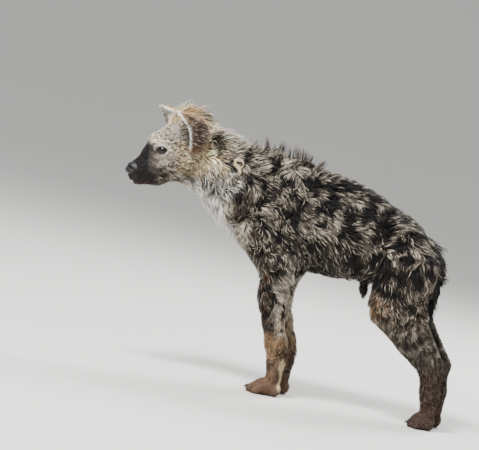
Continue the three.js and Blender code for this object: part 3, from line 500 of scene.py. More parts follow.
SHEATH_DARK = hue(46, 39, 36)

# Dark blotches of the side, as middle x, middle z, half length and half height
BLOTCHES = (
    (-416, 604, 12, 20),
    (-372, 557, 16, 16),
    (-350, 650, 15, 13),
    (-309, 628, 18, 14),
    (-340, 590, 12, 18),
    (-302, 684, 20, 12),
    (-264, 534, 16, 20),
    (-256, 578, 16, 14),
    (-233, 631, 25, 18),
    (-222, 668, 22, 12),
    (-189, 537, 13, 13),
    (-173, 602, 17, 44),
    (-171, 687, 30, 13),
    (-124, 518, 14, 14),
    (-116, 570, 24, 26),
    (-99, 661, 34, 28),
    (-62, 580, 22, 13),
    (-50, 620, 16, 12),
    (-6, 640, 28, 22),
    (-4, 552, 26, 38),
    (-5, 469, 14, 24),
    (49, 592, 20, 15),
    (40, 446, 19, 27),
    (50, 520, 18, 15),
    (87, 486, 18, 13),
    (100, 545, 16, 13),
    (130, 563, 20, 18),
    (126, 432, 15, 20),
    (153, 492, 20, 14),
    (64, 390, 14, 12),
    (113, 345, 15, 13),
    (20, 405, 13, 22),
    (-300, 470, 14, 20),
    (-340, 480, 13, 16),
    (-260, 450, 12, 20),
    (-566, 712, 10, 13),
    (-546, 692, 10, 13),
    (-527, 673, 10, 12),
    (-482, 690, 20, 10),
    (-486, 640, 12, 18),
    (-452, 660, 10, 16),
    (-440, 560, 10, 18),
    (-404, 668, 15, 10),
    (-380, 610, 10, 16),
    (-345, 700, 14, 9),
    (-285, 600, 10, 12),
    (-205, 575, 11, 14),
    (-145, 635, 13, 11),
    (-70, 520, 11, 16),
    (20, 560, 12, 14),
    (75, 545, 10, 13),
    (10, 600, 12, 10),
    (85, 430, 12, 15),
    (150, 455, 11, 14),
    (-45, 675, 16, 9),
)


def plain(colour, points):
    return np.tile(colour, (len(points), 1))


def mix(colours, other, amount):
    return colours + (other - colours) * np.asarray(amount)[:, None]


def paint_over(colours, *coats):
    """Lays further colours over the first, each with how much of it shows."""
    for other, amount in coats:
        colours = mix(colours, other, amount)
    return colours


def ellipse(x, z, middle_x, middle_z, half_x, half_z):
    return np.hypot((x - middle_x) / half_x, (z - middle_z) / half_z)


def paint_trunk(points, out):
    x, y, z = points.T
    below_back = np.interp(x, (-690, -400, -200, 0, 120, 190), (800, 715, 690, 640, 585, 520)) - z
    streaks = ripple(points * (0.8, 1, 1), 46, 5) + 0.5 * ripple(points, 17, 6)
    mottled = smooth(ripple(points, 20, 7), -0.2, 0.5)
    on_withers = smooth(below_back, 120, 50) * smooth(x, -260, -340)
    low_neck = smooth(ellipse(x, z, -512, 578, 70, 38), 1.15, 0.7)
    beside_neck = smooth(ellipse(x, z, -505, 592, 75, 58), 1.2, 0.7)
    front = smooth(out[:, 0], -0.5, -0.85) * smooth(x, -330, -400) * smooth(z, 400, 440)
    under = smooth(out[:, 2] + 0.1 * ripple(points, 30, 8), -0.3, -0.65) * smooth(x, -370, -420)
    return paint_over(
        plain(GREY_BROWN, points),
        (RUMP_BROWN, smooth(x, -60, 60)),
        (DARK_GREY, 0.8 * smooth(streaks, 0.3, -0.7)),
        (PALE_GREY, 0.6 * smooth(streaks, 0.6, 1.5)),
        (PALE_GREY, 0.8 * on_withers * smooth(streaks, -1.1, -0.1)),
        (DARK_GREY, 0.9 * smooth(below_back, 130, 230) * smooth(x, -330, -250)),
        (DARK_GREY, 0.7 * smooth(below_back, 70, 15) * smooth(x, -230, -120)),
        (BLOND, 0.9 * smooth(x, -470, -520) * smooth(z, 590, 620)),
        (PALE_GREY, 0.95 * smooth(x, -395, -455) * smooth(below_back, 110, 50)),
        (MANE_ORANGE, 0.85 * smooth(x, -575, -615) * smooth(below_back, 115, 60)),
        (DARK_GREY, 0.3 * mottled * low_neck),
        (CREAM_WHITE, 0.55 * (1 - mottled) * beside_neck),
        (PALE_GREY, 0.6 * front),
        (CREAM_WHITE, under * smooth(np.abs(y), 62, 44)),
    )


def paint_spots(points, colours):
    """Blotches of the near side; the far side has them shifted a little."""
    x, y, z = points.T
    ragged = 0.3 * ripple(points, 24, 11) + 0.15 * ripple(points, 10, 12)
    shifted_x = np.where(y > 0, x + 24, x) + 4 * ripple(points, 60, 13)
    shifted_z = np.where(y > 0, z - 9, z)
    nearest = np.full(len(points), 9.0)
    for blotch in BLOTCHES:
        nearest = np.minimum(nearest, ellipse(shifted_x, shifted_z, *blotch))
    dark = smooth(nearest + ragged, 1.5, 1.05)
    on_flank = smooth(x, -430, -380) * smooth(z, 330, 380)
    crowded = 0.4 * smooth(x, -250, -190) * smooth(x, 30, -30) * smooth(z, 590, 640)
    scattered = smooth(ripple(points * (1, 1, 0.8), 50, 21) + crowded, 0.75, 1.0)
    dark = np.maximum(dark, scattered * on_flank)
    halo = smooth(nearest + ragged, 2.3, 1.6) * (1 - dark) * on_flank * smooth(z, 420, 520)
    off_middle = np.maximum(smooth(np.abs(y), 8, 30), 0.6)
    return paint_over(colours, (PALE_GREY, 0.25 * halo), (SPOT_BLACK, 0.98 * dark * off_middle))


def paint_round_eye(h, side):
    a, b, out_of = from_eye(h, side)
    a = a * side
    near = (out_of > -6).astype(float)
    return (
        (UNDER_EYE, near * 0.75 * smooth(ellipse(a, b, -6, -21, 28, 11), 1.25, 0.6)),
        (BROW_PALE, near * 0.9 * smooth(ellipse(a, b, 2, 17, 19, 6.5), 1.25, 0.5)),
        (BROW_PALE, near * 0.5 * smooth(ellipse(a, b, 22, 4, 6, 12), 1.25, 0.5)),
        (MASK_GREY, near * 0.9 * smooth(ellipse(a, b, 3, -2, 19, 13), 1.2, 0.8)),
        (SPOT_BLACK, near * smooth(ellipse(a, b, 1, -0.5, 16, 11.6), 1.1, 0.9)),
    )


def paint_head(points):
    h = to_head(points)
    p, q, z = h.T
    speck = ripple(points, 9, 31)
    streaks = ripple(h * (0.35, 1, 1.6), 15, 32)
    ragged = 6 * ripple(h * (0.6, 1, 1), 20, 33)
    before_ear = smooth(np.abs(q), 14, 26) * smooth(z, 684, 704) * smooth(p, -106, -92) * smooth(p, -28, -46)
    jaw = smooth(z, 610, 594) * smooth(p, -130, -112)
    side_face = smooth(z, 596, 604) * smooth(z, 644, 630) * smooth(p, -122, -108) * smooth(p, -62, -80)
    below_brow = smooth(z, 672, 646)
    muzzle = p - 0.6 * np.maximum(600 - z, 0) + ragged
    top = smooth(np.abs(q), 22, 10) * smooth(p, -104, -122) * smooth(z, 600, 612)
    line = z - mouth_height(p)
    lip = smooth(p, -96, -108) * smooth(line, -2, -5) * smooth(line, -18, -12)
    return paint_over(
        plain(FOREHEAD, points),
        (CHEEK_TAN, smooth(p, -94, -62) * smooth(z, 700, 668)),
        (CROWN_TAN, smooth(z, 694, 724) * smooth(p, -112, -70)),
        (DARK_GREY, 0.95 * smooth(speck, 0.1, 0.75)),
        (BROW_PALE, 0.8 * before_ear),
        (JAW_GREY, jaw * smooth(p, -20, -45)),
        (SPOT_BLACK, 0.85 * jaw * smooth(streaks, 0.0, 0.6)),
        (BROW_PALE, 0.9 * jaw * smooth(streaks, -0.1, -0.7)),
        (DARK_GREY, 0.8 * smooth(z, 572, 560) * smooth(p, -40, -70)),
        (DARK_GREY, 0.5 * side_face * smooth(streaks, 0.1, 0.8)),
        (BROW_PALE, 0.5 * side_face * smooth(streaks, -0.2, -0.9)),
        (MASK_GREY, 0.95 * below_brow * smooth(p + 0.25 * (z - 620) + ragged, -108, -128)),
        (MASK_BLACK * (1 + 0.3 * speck[:, None]), below_brow * smooth(muzzle, -124, -152)),
        (MASK_BLACK, 0.55 * top * smooth(z, 680, 655)),
        *paint_round_eye(h, LEFT),
        *paint_round_eye(h, RIGHT),
        (SPOT_BLACK, 0.75 * smooth(p, -146, -153) * smooth(z, 552, 566)),
        (LIP_RED, 0.4 * lip * smooth(p, -118, -136)),
        # The mouth's line is painted black along its carved groove: the dark lip edge, deepened with painted
        # shade in the crease.
        (SPOT_BLACK, smooth(p, -84, -96) * smooth(np.abs(line), 3.6, 1.6)),
    )


def paint_fore(points):
    x, y, z = points.T
    step = np.where(y > 0, FAR_FORE_STEP, 0)
    axis = np.interp(z, (0, 52, 104, 158, 222, 290, 376), (-226, -226, -228, -241, -264, -283, -276)) + step
    fine = ripple(points * (1, 1, 0.3), 9, 44)
    uneven = ripple(points, 40, 45)
    rear = smooth(x - axis + 4 * fine, -8, 14)
    blots = ripple(points * (1, 1, 0.6), 30, 42) + 0.3 * fine
    height = z + 16 * uneven + 6 * fine
    stripe_x = axis + 17 + 0.12 * (95 - z) + 2 * uneven
    stripe = np.exp(-(((x - stripe_x) / 5.5) ** 2)) * smooth((np.abs(y) - 61) / 25, -0.1, 0.3)
    return paint_over(
        plain(DARK_GREY, points),
        (GREY_BROWN, 0.45 * smooth(blots, -0.2, -0.9)),
        (PALE_GREY, 0.85 * rear * smooth(z, 150, 200) * smooth(blots, 1.0, 0.2)),
        (RUST, 0.35 * smooth(ripple(points, 34, 41), 0, 0.9) * smooth(z, 400, 330)),
        (CARPUS_GOLD, 0.9 * smooth(height, 225, 150) * (1 - 0.35 * rear)),
        (FOOT_BROWN, smooth(height, 130, 80)),
        (FOOT_UMBER, 0.35 * smooth(fine, 0.2, 1.0) * smooth(z, 230, 170)),
        (FOOT_UMBER, 0.8 * rear * smooth(z, 165, 130) * smooth(z, 30, 50)),
        (BLOND, 0.95 * stripe * smooth(height, 135, 105) * smooth(z, 12, 26)),
        (SPOT_BLACK, 0.85 * smooth(blots, 0.35, 0.9) * smooth(height, 190, 240)),
    )


def paint_hind(points):
    x, _, z = points.T
    fine = ripple(points * (1, 1, 0.35), 9, 46)
    mottle = ripple(points, 30, 43) + 0.3 * fine
    return paint_over(
        plain(RUMP_BROWN, points),
        (SHANK_BROWN, smooth(z, 330, 260)),
        (PALE_GREY, 0.4 * smooth(mottle, -0.4, -1.2) * smooth(z, 190, 250)),
        (PALE_GREY, 0.3 * smooth(fine, 0.3, 1.2) * smooth(z, 130, 220)),
        (RUST, 0.32 * smooth(ellipse(x, z, 32, 330, 50, 60) + 0.25 * mottle, 1.3, 0.3)),
        (SPOT_BLACK, 0.8 * smooth(mottle, 0.6, 1.1) * smooth(z, 165, 230)),
        (FOOT_UMBER, smooth(z + 14 * mottle, 215, 140)),
        (SPOT_BLACK, 0.45 * smooth(fine, 0.2, 1.1) * smooth(z, 200, 150)),
    )


def share_of(part_shares, *names):
    return sum(part_shares[:, REGIONS.index(name)] for name in names)


def paint(points, out, part_shares):
    """The animal's colour at points on its skin, with their ways out and their shares of the regions."""
    z = points[:, 2]
    trunk = paint_trunk(points, out)
    fore = paint_fore(points)
    hind = paint_hind(points)
    by_region = {
        "head": paint_head(points),
        "neck": trunk,
        "trunk": trunk,
        "shoulder": mix(trunk, fore, 0.85 * smooth(z, 430, 350)),
        "forearm": fore,
        "thigh": mix(trunk, hind, smooth(z, 480, 360)),
        "shank": hind,
        "tail": plain(SPOT_BLACK, points),
        "sheath": plain(SHEATH_DARK, points),
    }
    colours = sum(by_region[name] * part_shares[:, i : i + 1] for i, name in enumerate(REGIONS))
    spotted = paint_spots(points, colours)
    body = share_of(part_shares, "trunk", "shoulder", "thigh", "neck")
    return mix(colours, spotted, np.clip(body * 1.2, 0, 1))


def add_markings(mesh, colours):
    layer = mesh.color_attributes.new("markings", "FLOAT_COLOR", "POINT")
    full = np.ones((len(colours), 4), np.float32)
    full[:, :3] = np.clip(colours, 0.0015, 0.95)
    layer.data.foreach_set("color", full.ravel())


# The way the hair lies, the coat's make and its place on the unwrapped skin
COAT_SWIRL = 0.36


def lie_of(points, part_shares):
    x, y, z = points.T
    _, q, head_z = to_head(points).T

    def ways(back, outward, up):
        zero = np.zeros(len(points))
        return np.stack([zero + back, zero + outward, zero + up], -1)

    side = np.minimum(1, np.abs(y) / 70)
    low = np.clip((560 - z) / 160, 0, 1)
    forward = smooth(x, -150, -90) * smooth(x, 60, 0) * smooth(z, 520, 460)
    foot = smooth(z, 60, 30)
    by_region = {
        "head": turn_from_head(ways(1, 0.3 * np.sign(q), -0.12 + 0.5 * smooth(head_z, 650, 690))),
        "neck": ways(0.8, 0, -0.15 - 0.75 * side),
        "trunk": ways(1 - 1.5 * forward, 0, 0.02 - side * (0.45 + 0.45 * low) - 0.5 * forward),
        "shoulder": ways(0.6, 0.1 * np.sign(y), -0.8),
        "forearm": ways(0.18 - 1.0 * foot, 0, -1),
        "thigh": ways(0.4, 0, -0.92),
        "shank": ways(0.42 - 1.2 * foot, 0, -0.9),
        "tail": ways(0.12, 0, -1),
        "sheath": ways(-0.1, 0, -1),
    }
    way = sum(normalized(by_region[name]) * part_shares[:, i : i + 1] for i, name in enumerate(REGIONS))
    swirl = np.stack([ripple(points, 70, 51 + i) for i in range(3)], -1)
    return way + COAT_SWIRL * swirl * (1 - part_shares[:, :1])


MANE_X = (-705, -680, -660, -625, -603, -558, -510, -462, -424, -390, -352, -312, -226, -150, -60)
MANE_RISE = (14, 48, 76, 72, 64, 66, 62, 62, 66, 72, 66, 54, 42, 34, 28)


def coat_make(points, out, part_shares):
    """Length, rise at the tip, width and room of the tufts that grow at points."""
    x, y, z = points.T
    p = to_head(points)[:, 0]
    length, rise = part_shares @ HAIR_LENGTH, part_shares @ HAIR_RISE
    width, room = part_shares @ HAIR_WIDTH, part_shares @ HAIR_ROOM
    mane = np.exp(-((y / 20) ** 2)) * smooth(out[:, 2], 0.3, 0.7)
    mane = mane * smooth(x, -60, -160) * smooth(x, -705, -680)
    mane_rise = np.interp(x, MANE_X, MANE_RISE)
    length = length + mane * np.maximum(mane_rise * 1.2 - length, 0)
    rise = rise + mane * np.maximum(mane_rise - rise, 0)
    room = room * (1 - 0.5 * mane)
    width = width + mane * (2.8 - width)
    throat = smooth(out[:, 2], -0.2, -0.7) * smooth(x, -390, -430) * share_of(part_shares, "neck", "trunk")
    rise = rise + throat * (8 + 10 * ripple(points, 14, 9))
    length = length + 14 * throat
    on_head = part_shares[:, 0]
    back_of_head = smooth(p, -120, -40)
    on_muzzle = smooth(p, -105, -150)
    length = length + on_head * (14 * back_of_head - 6 * on_muzzle)
    rise = rise + on_head * (5 * back_of_head - 2.0 * on_muzzle)
    foot = smooth(z, 115, 55)
    length, rise = length * (1 - 0.7 * foot), rise * (1 - 0.66 * foot)
    return length, rise, width * (1 - 0.4 * foot), room * (1 - 0.3 * foot)


# Each leg's strip of the chart: its regions, and its axis as heights with their x
LEG_STRIPS = (
    ("shoulder", "forearm", (0, 104, 222, 376, 640), (-226, -228, -264, -276, -282)),
    ("thigh", "shank", (0, 110, 184, 322, 512), (246, 240, 224, 90, 80)),
)


def around(across, up):
    """Shares of a turn round an axis."""
    return np.arctan2(across, up) / (2 * math.pi) + 0.5


def on_chart(points, part_shares):
    """The skin unwrapped by region, each rolled off round its own axis."""
    x, y, z = points.T
    p, q, _ = to_head(points).T
    name = np.array(REGIONS)[part_shares.argmax(1)]
    axis_z = np.interp(x, (-612, -400, -180, 98), (652, 566, 531, 474))
    chart = np.empty((len(points), 2))

    def place(mine, along, turn):
        chart[mine, 0] = along[mine]
        chart[mine, 1] = turn[mine]

    everywhere = np.ones(len(points), bool)
    place(everywhere, 0.02 + 0.7 * np.clip((x + 700) / 900, 0, 1), 0.02 + 0.46 * around(y, z - axis_z))
    place(name == "head", 0.75 + 0.22 * np.clip((p + 205) / 260, 0, 1), 0.02 + 0.38 * around(q, z - 625))
    for strip, (upper, lower, heights, middles) in enumerate(LEG_STRIPS):
        for number, side in enumerate(SIDES, 2 * strip):
            turn = around(y - side * 64, x - np.interp(z, heights, middles))
            mine = np.isin(name, (upper, lower)) & (np.sign(y) == side)
            place(mine, 0.02 + 0.245 * number + 0.2 * turn, 0.51 + 0.41 * np.clip(z / 700, 0, 1))
    tail = np.isin(name, ("tail", "sheath"))
    place(tail, 0.02 + 0.9 * np.clip((z - 300) / 280, 0, 1), 0.945 + 0.04 * around(y, x - 180))
    return chart


# Tufts: closed three-sided blades through stations, joined to one mesh
CHART_PATCH = 0.003


def tuft_triangles(rings, count):
    """Closes each tuft from its root's cap over its rings to its tip, the last of its corners."""
    faces = [(2, 1, 0)]
    for start in range(0, 3 * rings - 3, 3):
        for i in range(3):
            n = (i + 1) % 3
            faces += [(start + i, start + n, start + 3 + n), (start + i, start + 3 + n, start + 3 + i)]
    last = 3 * rings - 3
    faces += [(last + i, last + (i + 1) % 3, 3 * rings) for i in range(3)]
    per_tuft = 3 * rings + 1
    return (np.array(faces)[None] + per_tuft * np.arange(count)[:, None, None]).reshape(-1, 3)


def belongs(piece, slot, *replaced):
    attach(piece, "root")
    if replaced:
        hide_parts(*replaced)


def tuft_piece(name, slot, material, stations, outs, widths, shades, chart, profile, thick=0.38):
    """Stations are (steps, tufts, 3), the tip last. Shades are root and tip; profile is each ring's width."""
    steps, count = stations.shape[:2]
    rings = steps - 1
    low, high = shades
    corners = np.empty((count, 3 * rings + 1, 3))
    colours = np.empty_like(corners)
    along = np.linspace(0, 1, steps)
    for k in range(rings):
        tangent = normalized(stations[k + 1] - stations[max(k - 1, 0)])
        across = normalized(np.cross(outs, tangent))
        up = np.cross(tangent, across)
        half = (widths * profile[k] / 2)[:, None]
        corners[:, 3 * k] = stations[k] - across * half
        corners[:, 3 * k + 1] = stations[k] + across * half
        corners[:, 3 * k + 2] = stations[k] + up * half * 2 * thick
        colours[:, 3 * k : 3 * k + 3] = (low + (high - low) * along[k] ** 0.8)[:, None]
    corners[:, -1] = stations[-1]
    corners[:, :, 2] = np.maximum(corners[:, :, 2], 0.2)
    colours[:, -1] = high
    triangles = tuft_triangles(rings, count)
    mesh = bpy.data.meshes.new(name)
    mesh.vertices.add(corners.size // 3)
    mesh.vertices.foreach_set("co", in_frame(corners.reshape(-1, 3)).astype(np.float32).ravel())
    mesh.loops.add(triangles.size)
    mesh.loops.foreach_set("vertex_index", triangles.ravel().astype(np.int32))
    mesh.polygons.add(len(triangles))
    mesh.polygons.foreach_set("loop_start", np.arange(0, triangles.size, 3, dtype=np.int32))
    mesh.polygons.foreach_set("use_smooth", np.ones(len(triangles), bool))
    mesh.update(calc_edges=True)
    patch = np.stack([[0, 1, 0.5] * rings + [0.5], np.append(np.repeat(along[:-1], 3), 1)], -1) * CHART_PATCH
    corner_chart = (chart[:, None] + patch[None]).reshape(-1, 2)
    layer = mesh.uv_layers.new(name="OFBake")
    layer.data.foreach_set("uv", corner_chart[triangles.ravel()].astype(np.float32).ravel())
    add_markings(mesh, colours.reshape(-1, 3))
    mesh.materials.append(material)
    piece = bpy.data.objects.new(name, mesh)
    bpy.context.scene.collection.objects.link(piece)
    belongs(piece, slot)


def sow(vertices, triangles, room):
    """Roots spread evenly over a surface: one to each share of room, in the order of its faces."""
    a, b, c = (vertices[triangles[:, i]] for i in range(3))
    area = np.linalg.norm(np.cross(b - a, c - a), axis=1) / 2
    filled = np.cumsum(area / room[triangles].mean(1))
    total = int(filled[-1])
    spots = np.searchsorted(filled, np.arange(total) + draw.random(total))
    spots = np.minimum(spots, len(triangles) - 1)
    u, v = draw.random(total), draw.random(total)
    over = u + v > 1
    u[over], v[over] = 1 - u[over], 1 - v[over]
    return a[spots] + (b - a)[spots] * u[:, None] + (c - a)[spots] * v[:, None]


def nearest_of(places, points):
    """The number of the place nearest to each point."""
    tree = KDTree(len(places))
    for number, place in enumerate(places):
        tree.insert(place, number)
    tree.balance()
    return np.array([tree.find(point)[1] for point in points])


def clump(stations, share_of_leaders, pull):
    """Draws each tuft's outer stations towards those of the leader nearest to its root."""
    count = stations.shape[1]
    leaders = draw.choice(count, max(1, int(count * share_of_leaders)), replace=False)
    follow = leaders[nearest_of(stations[0, leaders], stations[0])]
    for k, share in enumerate(pull):
        stations[k] += (stations[k][follow] - stations[k]) * share
    return follow


def lay(roots, part_shares, out, steps, heights, length, rise):
    """Carries tufts from their roots over the skin, along the lie of the coat."""
    way = lie_of(roots, part_shares)
    way = normalized(way - out * (way * out).sum(1, keepdims=True))
    across = np.cross(out, way)
    way = normalized(way + across * draw.normal(0, 0.2, (len(roots), 1)))
    along = np.sqrt(np.maximum(length**2 - rise**2, (0.3 * length) ** 2))
    stations = [roots - out * 1.2]
    fill = muzzle_fill(to_head(roots))
    for share, height in zip(steps[1:], heights[1:]):
        spot, outs = settle(roots + way * (along * share)[:, None], 1, 25.0)
        stations.append(spot + outs * (rise * height + fill)[:, None])
    return np.array(stations)


def surface_of(piece):
    piece.data.calc_loop_triangles()
    flat = np.empty(3 * len(piece.data.loop_triangles), np.int32)
    piece.data.loop_triangles.foreach_get("vertices", flat)
    return points_of(piece), flat.reshape(-1, 3)


# Materials
def new_group(name, inputs, outputs):
    group = bpy.data.node_groups.new(name, "ShaderNodeTree")
    for label, kind, value in inputs:
        socket = group.interface.new_socket(name=label, in_out="INPUT", socket_type=f"NodeSocket{kind}")
        if value is not None:
            socket.default_value = value
    for label, kind in outputs:
        group.interface.new_socket(name=label, in_out="OUTPUT", socket_type=f"NodeSocket{kind}")
    return group, group.nodes.new("NodeGroupInput"), group.nodes.new("NodeGroupOutput")


def add_node(tree, kind, links=(), **values):
    """A node of a kind, with values by socket and links from other nodes' outputs."""
    node = tree.nodes.new(f"ShaderNode{kind}")
    for socket, value in values.items():
        node.inputs[socket].default_value = value
    for source, socket in links:
        tree.links.new(source, node.inputs[socket])
    return node


def make_grain_group():
    """Uneven colour, gloss and height, as of fine hair or hide."""
    group, given, result = new_group(
        "Hair grain",
        [
            ("Colour", "Color", (0.5, 0.5, 0.5, 1)),
            ("Vector", "Vector", None),
            ("Fineness", "Float", 300.0),
            ("Contrast", "Float", 0.3),
            ("Least roughness", "Float", 0.5),
            ("Most roughness", "Float", 0.8),
        ],
        [("Colour", "Color"), ("Roughness", "Float"), ("Height", "Float")],
    )
    wanted = given.outputs
    noise_links = [(wanted["Vector"], "Vector"), (wanted["Fineness"], "Scale")]
    fine = add_node(group, "TexNoise", noise_links, Detail=4)
    centred = add_node(group, "Math", [(fine.outputs["Fac"], 0)])
    centred.operation = "SUBTRACT"
    centred.inputs[1].default_value = 0.5
    shade = add_node(group, "Math", [(centred.outputs[0], 0), (wanted["Contrast"], 1)])
    shade.operation = "MULTIPLY_ADD"
    shade.inputs[2].default_value = 1
    tinted = add_node(group, "VectorMath", [(wanted["Colour"], 0)])
    tinted.operation = "SCALE"
    group.links.new(shade.outputs[0], tinted.inputs["Scale"])
    roughness_links = [(wanted["Least roughness"], "To Min"), (wanted["Most roughness"], "To Max")]
    rough = add_node(group, "MapRange", [(fine.outputs["Fac"], "Value"), *roughness_links])
    group.links.new(tinted.outputs[0], result.inputs["Colour"])
    group.links.new(rough.outputs[0], result.inputs["Roughness"])
    group.links.new(fine.outputs["Fac"], result.inputs["Height"])
    return group


GRAIN = make_grain_group()
RELIEF_DEPTH = 0.0006


def hair_material(name, fineness, contrast, roughness, bump, specular=0.3, sheen=0.0, stretch=(1, 1, 1)):
    """A coat or hide that carries the painted markings."""
    material = bpy.data.materials.new(name)
    material.use_nodes = True
    tree = material.node_tree
    shader = tree.nodes["Principled BSDF"]
    coordinates = add_node(tree, "TexCoord")
    mapping = add_node(tree, "Mapping", [(coordinates.outputs["Object"], "Vector")], Scale=stretch)
    painted = add_node(tree, "Attribute")
    painted.attribute_name = "markings"
    grain = tree.nodes.new("ShaderNodeGroup")
    grain.node_tree = GRAIN
    grain.inputs["Fineness"].default_value = fineness
    grain.inputs["Contrast"].default_value = contrast
    grain.inputs["Least roughness"].default_value, grain.inputs["Most roughness"].default_value = roughness
    tree.links.new(painted.outputs["Color"], grain.inputs["Colour"])
    tree.links.new(mapping.outputs["Vector"], grain.inputs["Vector"])
    height = [(grain.outputs["Height"], "Height")]
    relief = add_node(tree, "Bump", height, Strength=bump, Distance=RELIEF_DEPTH)
    tree.links.new(grain.outputs["Colour"], shader.inputs["Base Color"])
    tree.links.new(grain.outputs["Roughness"], shader.inputs["Roughness"])
    tree.links.new(relief.outputs["Normal"], shader.inputs["Normal"])
    shader.inputs["Specular IOR Level"].default_value = specular
    shader.inputs["Sheen Weight"].default_value = sheen
    return material


short_coat = hair_material("Short coat", 700, 0.8, (0.62, 0.85), 0.6, 0.2, 0.03, (1, 1, 0.3))
long_coat = hair_material("Long coat", 420, 0.7, (0.5, 0.75), 0.3, 0.2, 0.02)
mane_hair = hair_material("Mane hair", 380, 0.6, (0.48, 0.72), 0.3, 0.2, 0.02)
face_fur = hair_material("Face fur", 600, 0.6, (0.55, 0.8), 0.3, 0.2, 0.02)
leg_fur = hair_material("Leg fur", 520, 0.6, (0.55, 0.8), 0.3, 0.2, 0.02)
tail_hair = hair_material("Tail hair", 420, 0.5, (0.42, 0.65), 0.3, 0.35)
ear_fur = hair_material("Ear fur", 560, 0.5, (0.55, 0.8), 0.3, 0.2, 0.02)
nose_leather = hair_material("Nose leather", 900, 0.5, (0.36, 0.55), 1.0, 0.3)
lid_leather = hair_material("Lid leather", 800, 0.4, (0.3, 0.5), 0.8, 0.5)
eye_gloss = hair_material("Eye", 900, 0.15, (0.09, 0.14), 0.05, 0.45)
claw_horn = hair_material("Claw horn", 500, 0.6, (0.3, 0.5), 0.5, 0.5, 0, (0.3, 1, 1))

skin = make_skin()
skin_points, skin_triangles = surface_of(skin)
_, skin_parts = measure(skin_points)
skin_shares = shares(skin_parts)
_, skin_out = settle(skin_points, 1, 0.0)
skin_colours = paint(skin_points, skin_out, skin_shares)
# The hide is painted darker than its markings, from 0.82 of them down to 0.42 under long hair: painted shade
# of the coat that lies over it.
in_long_hair = skin_shares[:, [1, 2, 3, 5, 7]].sum(1, keepdims=True)
add_markings(skin.data, skin_colours * (0.82 - 0.4 * in_long_hair))
skin.data.materials.append(short_coat)
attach(skin, "root")
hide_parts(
    *["head", "lower_jaw", "neck", "chest", "belly", "rump", "tail", "sheath"],
    *[
        f"{part}_{SIDE_NAMES[side]}"
        for part in ("upper_arm", "forearm", "forefoot", "thigh", "shank", "hindfoot")
        for side in SIDES
    ],
)

# Coat: roots over the whole skin, long tufts of four stations and short ones of three
_, _, _, skin_room = coat_make(skin_points, skin_out, skin_shares)
roots = sow(skin_points, skin_triangles, skin_room)
roots = roots[roots[:, 2] > 3]
root_parts = shares(measure(roots)[1])
_, root_out = settle(roots, 1, 0.0)


def free_of_face(points):
    """Roots that lie clear of the eyes, nose and mouth's line."""
    h = to_head(points)
    free = from_nose_pad(h) > 0.99
    for side in SIDES:
        a, b, out_of = from_eye(h, side)
        free &= (np.hypot(a / 16.5, b / 13.5) > 1) | (out_of < -6)
    at_mouth = (h[:, 0] < -94) & (np.abs(points[:, 2] - 560) < 40)
    return free & ~(at_mouth & (np.abs(h[:, 2] - mouth_height(h[:, 0])) < 3))


clear = free_of_face(roots)
roots, root_parts, root_out = roots[clear], root_parts[clear], root_out[clear]
length, rise, width, _ = coat_make(roots, root_out, root_parts)
length = length * draw.uniform(0.82, 1.14, len(roots))
rise = rise * draw.uniform(0.8, 1.15, len(roots))
width = width * draw.uniform(0.8, 1.2, len(roots))
chart = on_chart(roots, root_parts)
long_hair = length > 27


def shade_tufts(colours, follow, grizzle):
    """Root and tip colours: clumps differ a little, and some tufts are pale or dark at the tip. Roots are
    painted at about a third of the colour: partly the coat's darker underhair, partly painted shade deep in
    the coat.
    """
    count = len(colours)
    brightness = 1 + 0.3 * draw.normal(size=count)[follow] + 0.2 * draw.normal(size=count)
    brightness = np.clip(brightness, 0.4, 1.7)[:, None]
    tips = colours * brightness * 1.12
    kind = draw.random(count)
    light = smooth(colours.mean(1), 0.006, 0.03)
    tips = mix(tips, PALE_GREY * 1.1, np.where(kind < 0.15, 0.75, 0) * grizzle * light)
    tips = mix(tips, SPOT_BLACK, np.where(kind > 0.72, 0.8, 0) * grizzle)
    # Roots at 0.36 of the colour: partly darker underhair, partly painted shade deep in the coat.
    return colours * 0.36 * brightness, tips


# How a tuft is stepped: shares of its length and rise, width at each ring, pull of its clump and leaders
LONG_TUFT = ((0, 0.34, 0.7, 1), (0, 0.46, 0.86, 1), (0.8, 1, 0.7), (0, 0.1, 0.36, 0.6), 0.08)
SHORT_TUFT = ((0, 0.5, 1), (0, 0.7, 1), (0.9, 0.8), (0, 0.1, 0.25), 0.2)


def coat_piece(name, chosen, material, slot, tuft):
    """Makes one piece of the coat from the chosen roots, coloured by where each tuft comes to lie."""
    picked = np.flatnonzero(chosen)
    steps, heights, profile, pull, leaders = tuft
    outs, parts = root_out[picked], root_parts[picked]
    x, y, z = roots[picked].T
    stations = lay(roots[picked], parts, outs, steps, heights, length[picked], rise[picked])
    stations[-1] += np.cross(outs, stations[-1] - stations[0]) * draw.normal(0, 0.14, (len(picked), 1))
    seen = stations[-2] - outs * (0.8 * rise[picked])[:, None]
    colours = paint(seen, outs, shares(measure(seen)[1]))
    follow = clump(stations, leaders, pull)
    grizzle = 0.35 + 0.65 * parts[:, [0, 1, 2, 3, 5]].sum(1)
    grizzle = grizzle * (1 - 0.9 * smooth(to_head(roots[picked])[:, 0], -108, -126)) * (1 - 0.5 * parts[:, 1])
    low, high = shade_tufts(colours, follow, grizzle)
    # The neck's pale hair is painted with lighter roots, with less of the painted root shade.
    low = low * (1 + 0.8 * parts[:, 1:2])
    withers = np.exp(-((y / 30) ** 2)) * smooth(x, -500, -440) * smooth(x, -240, -330) * smooth(z, 640, 680)
    high = mix(high, SPOT_BLACK * 1.4, 0.75 * withers * (draw.random(len(picked)) < 0.3))
    tuft_piece(name, slot, material, stations, outs, width[picked], (low, high), chart[picked], profile)


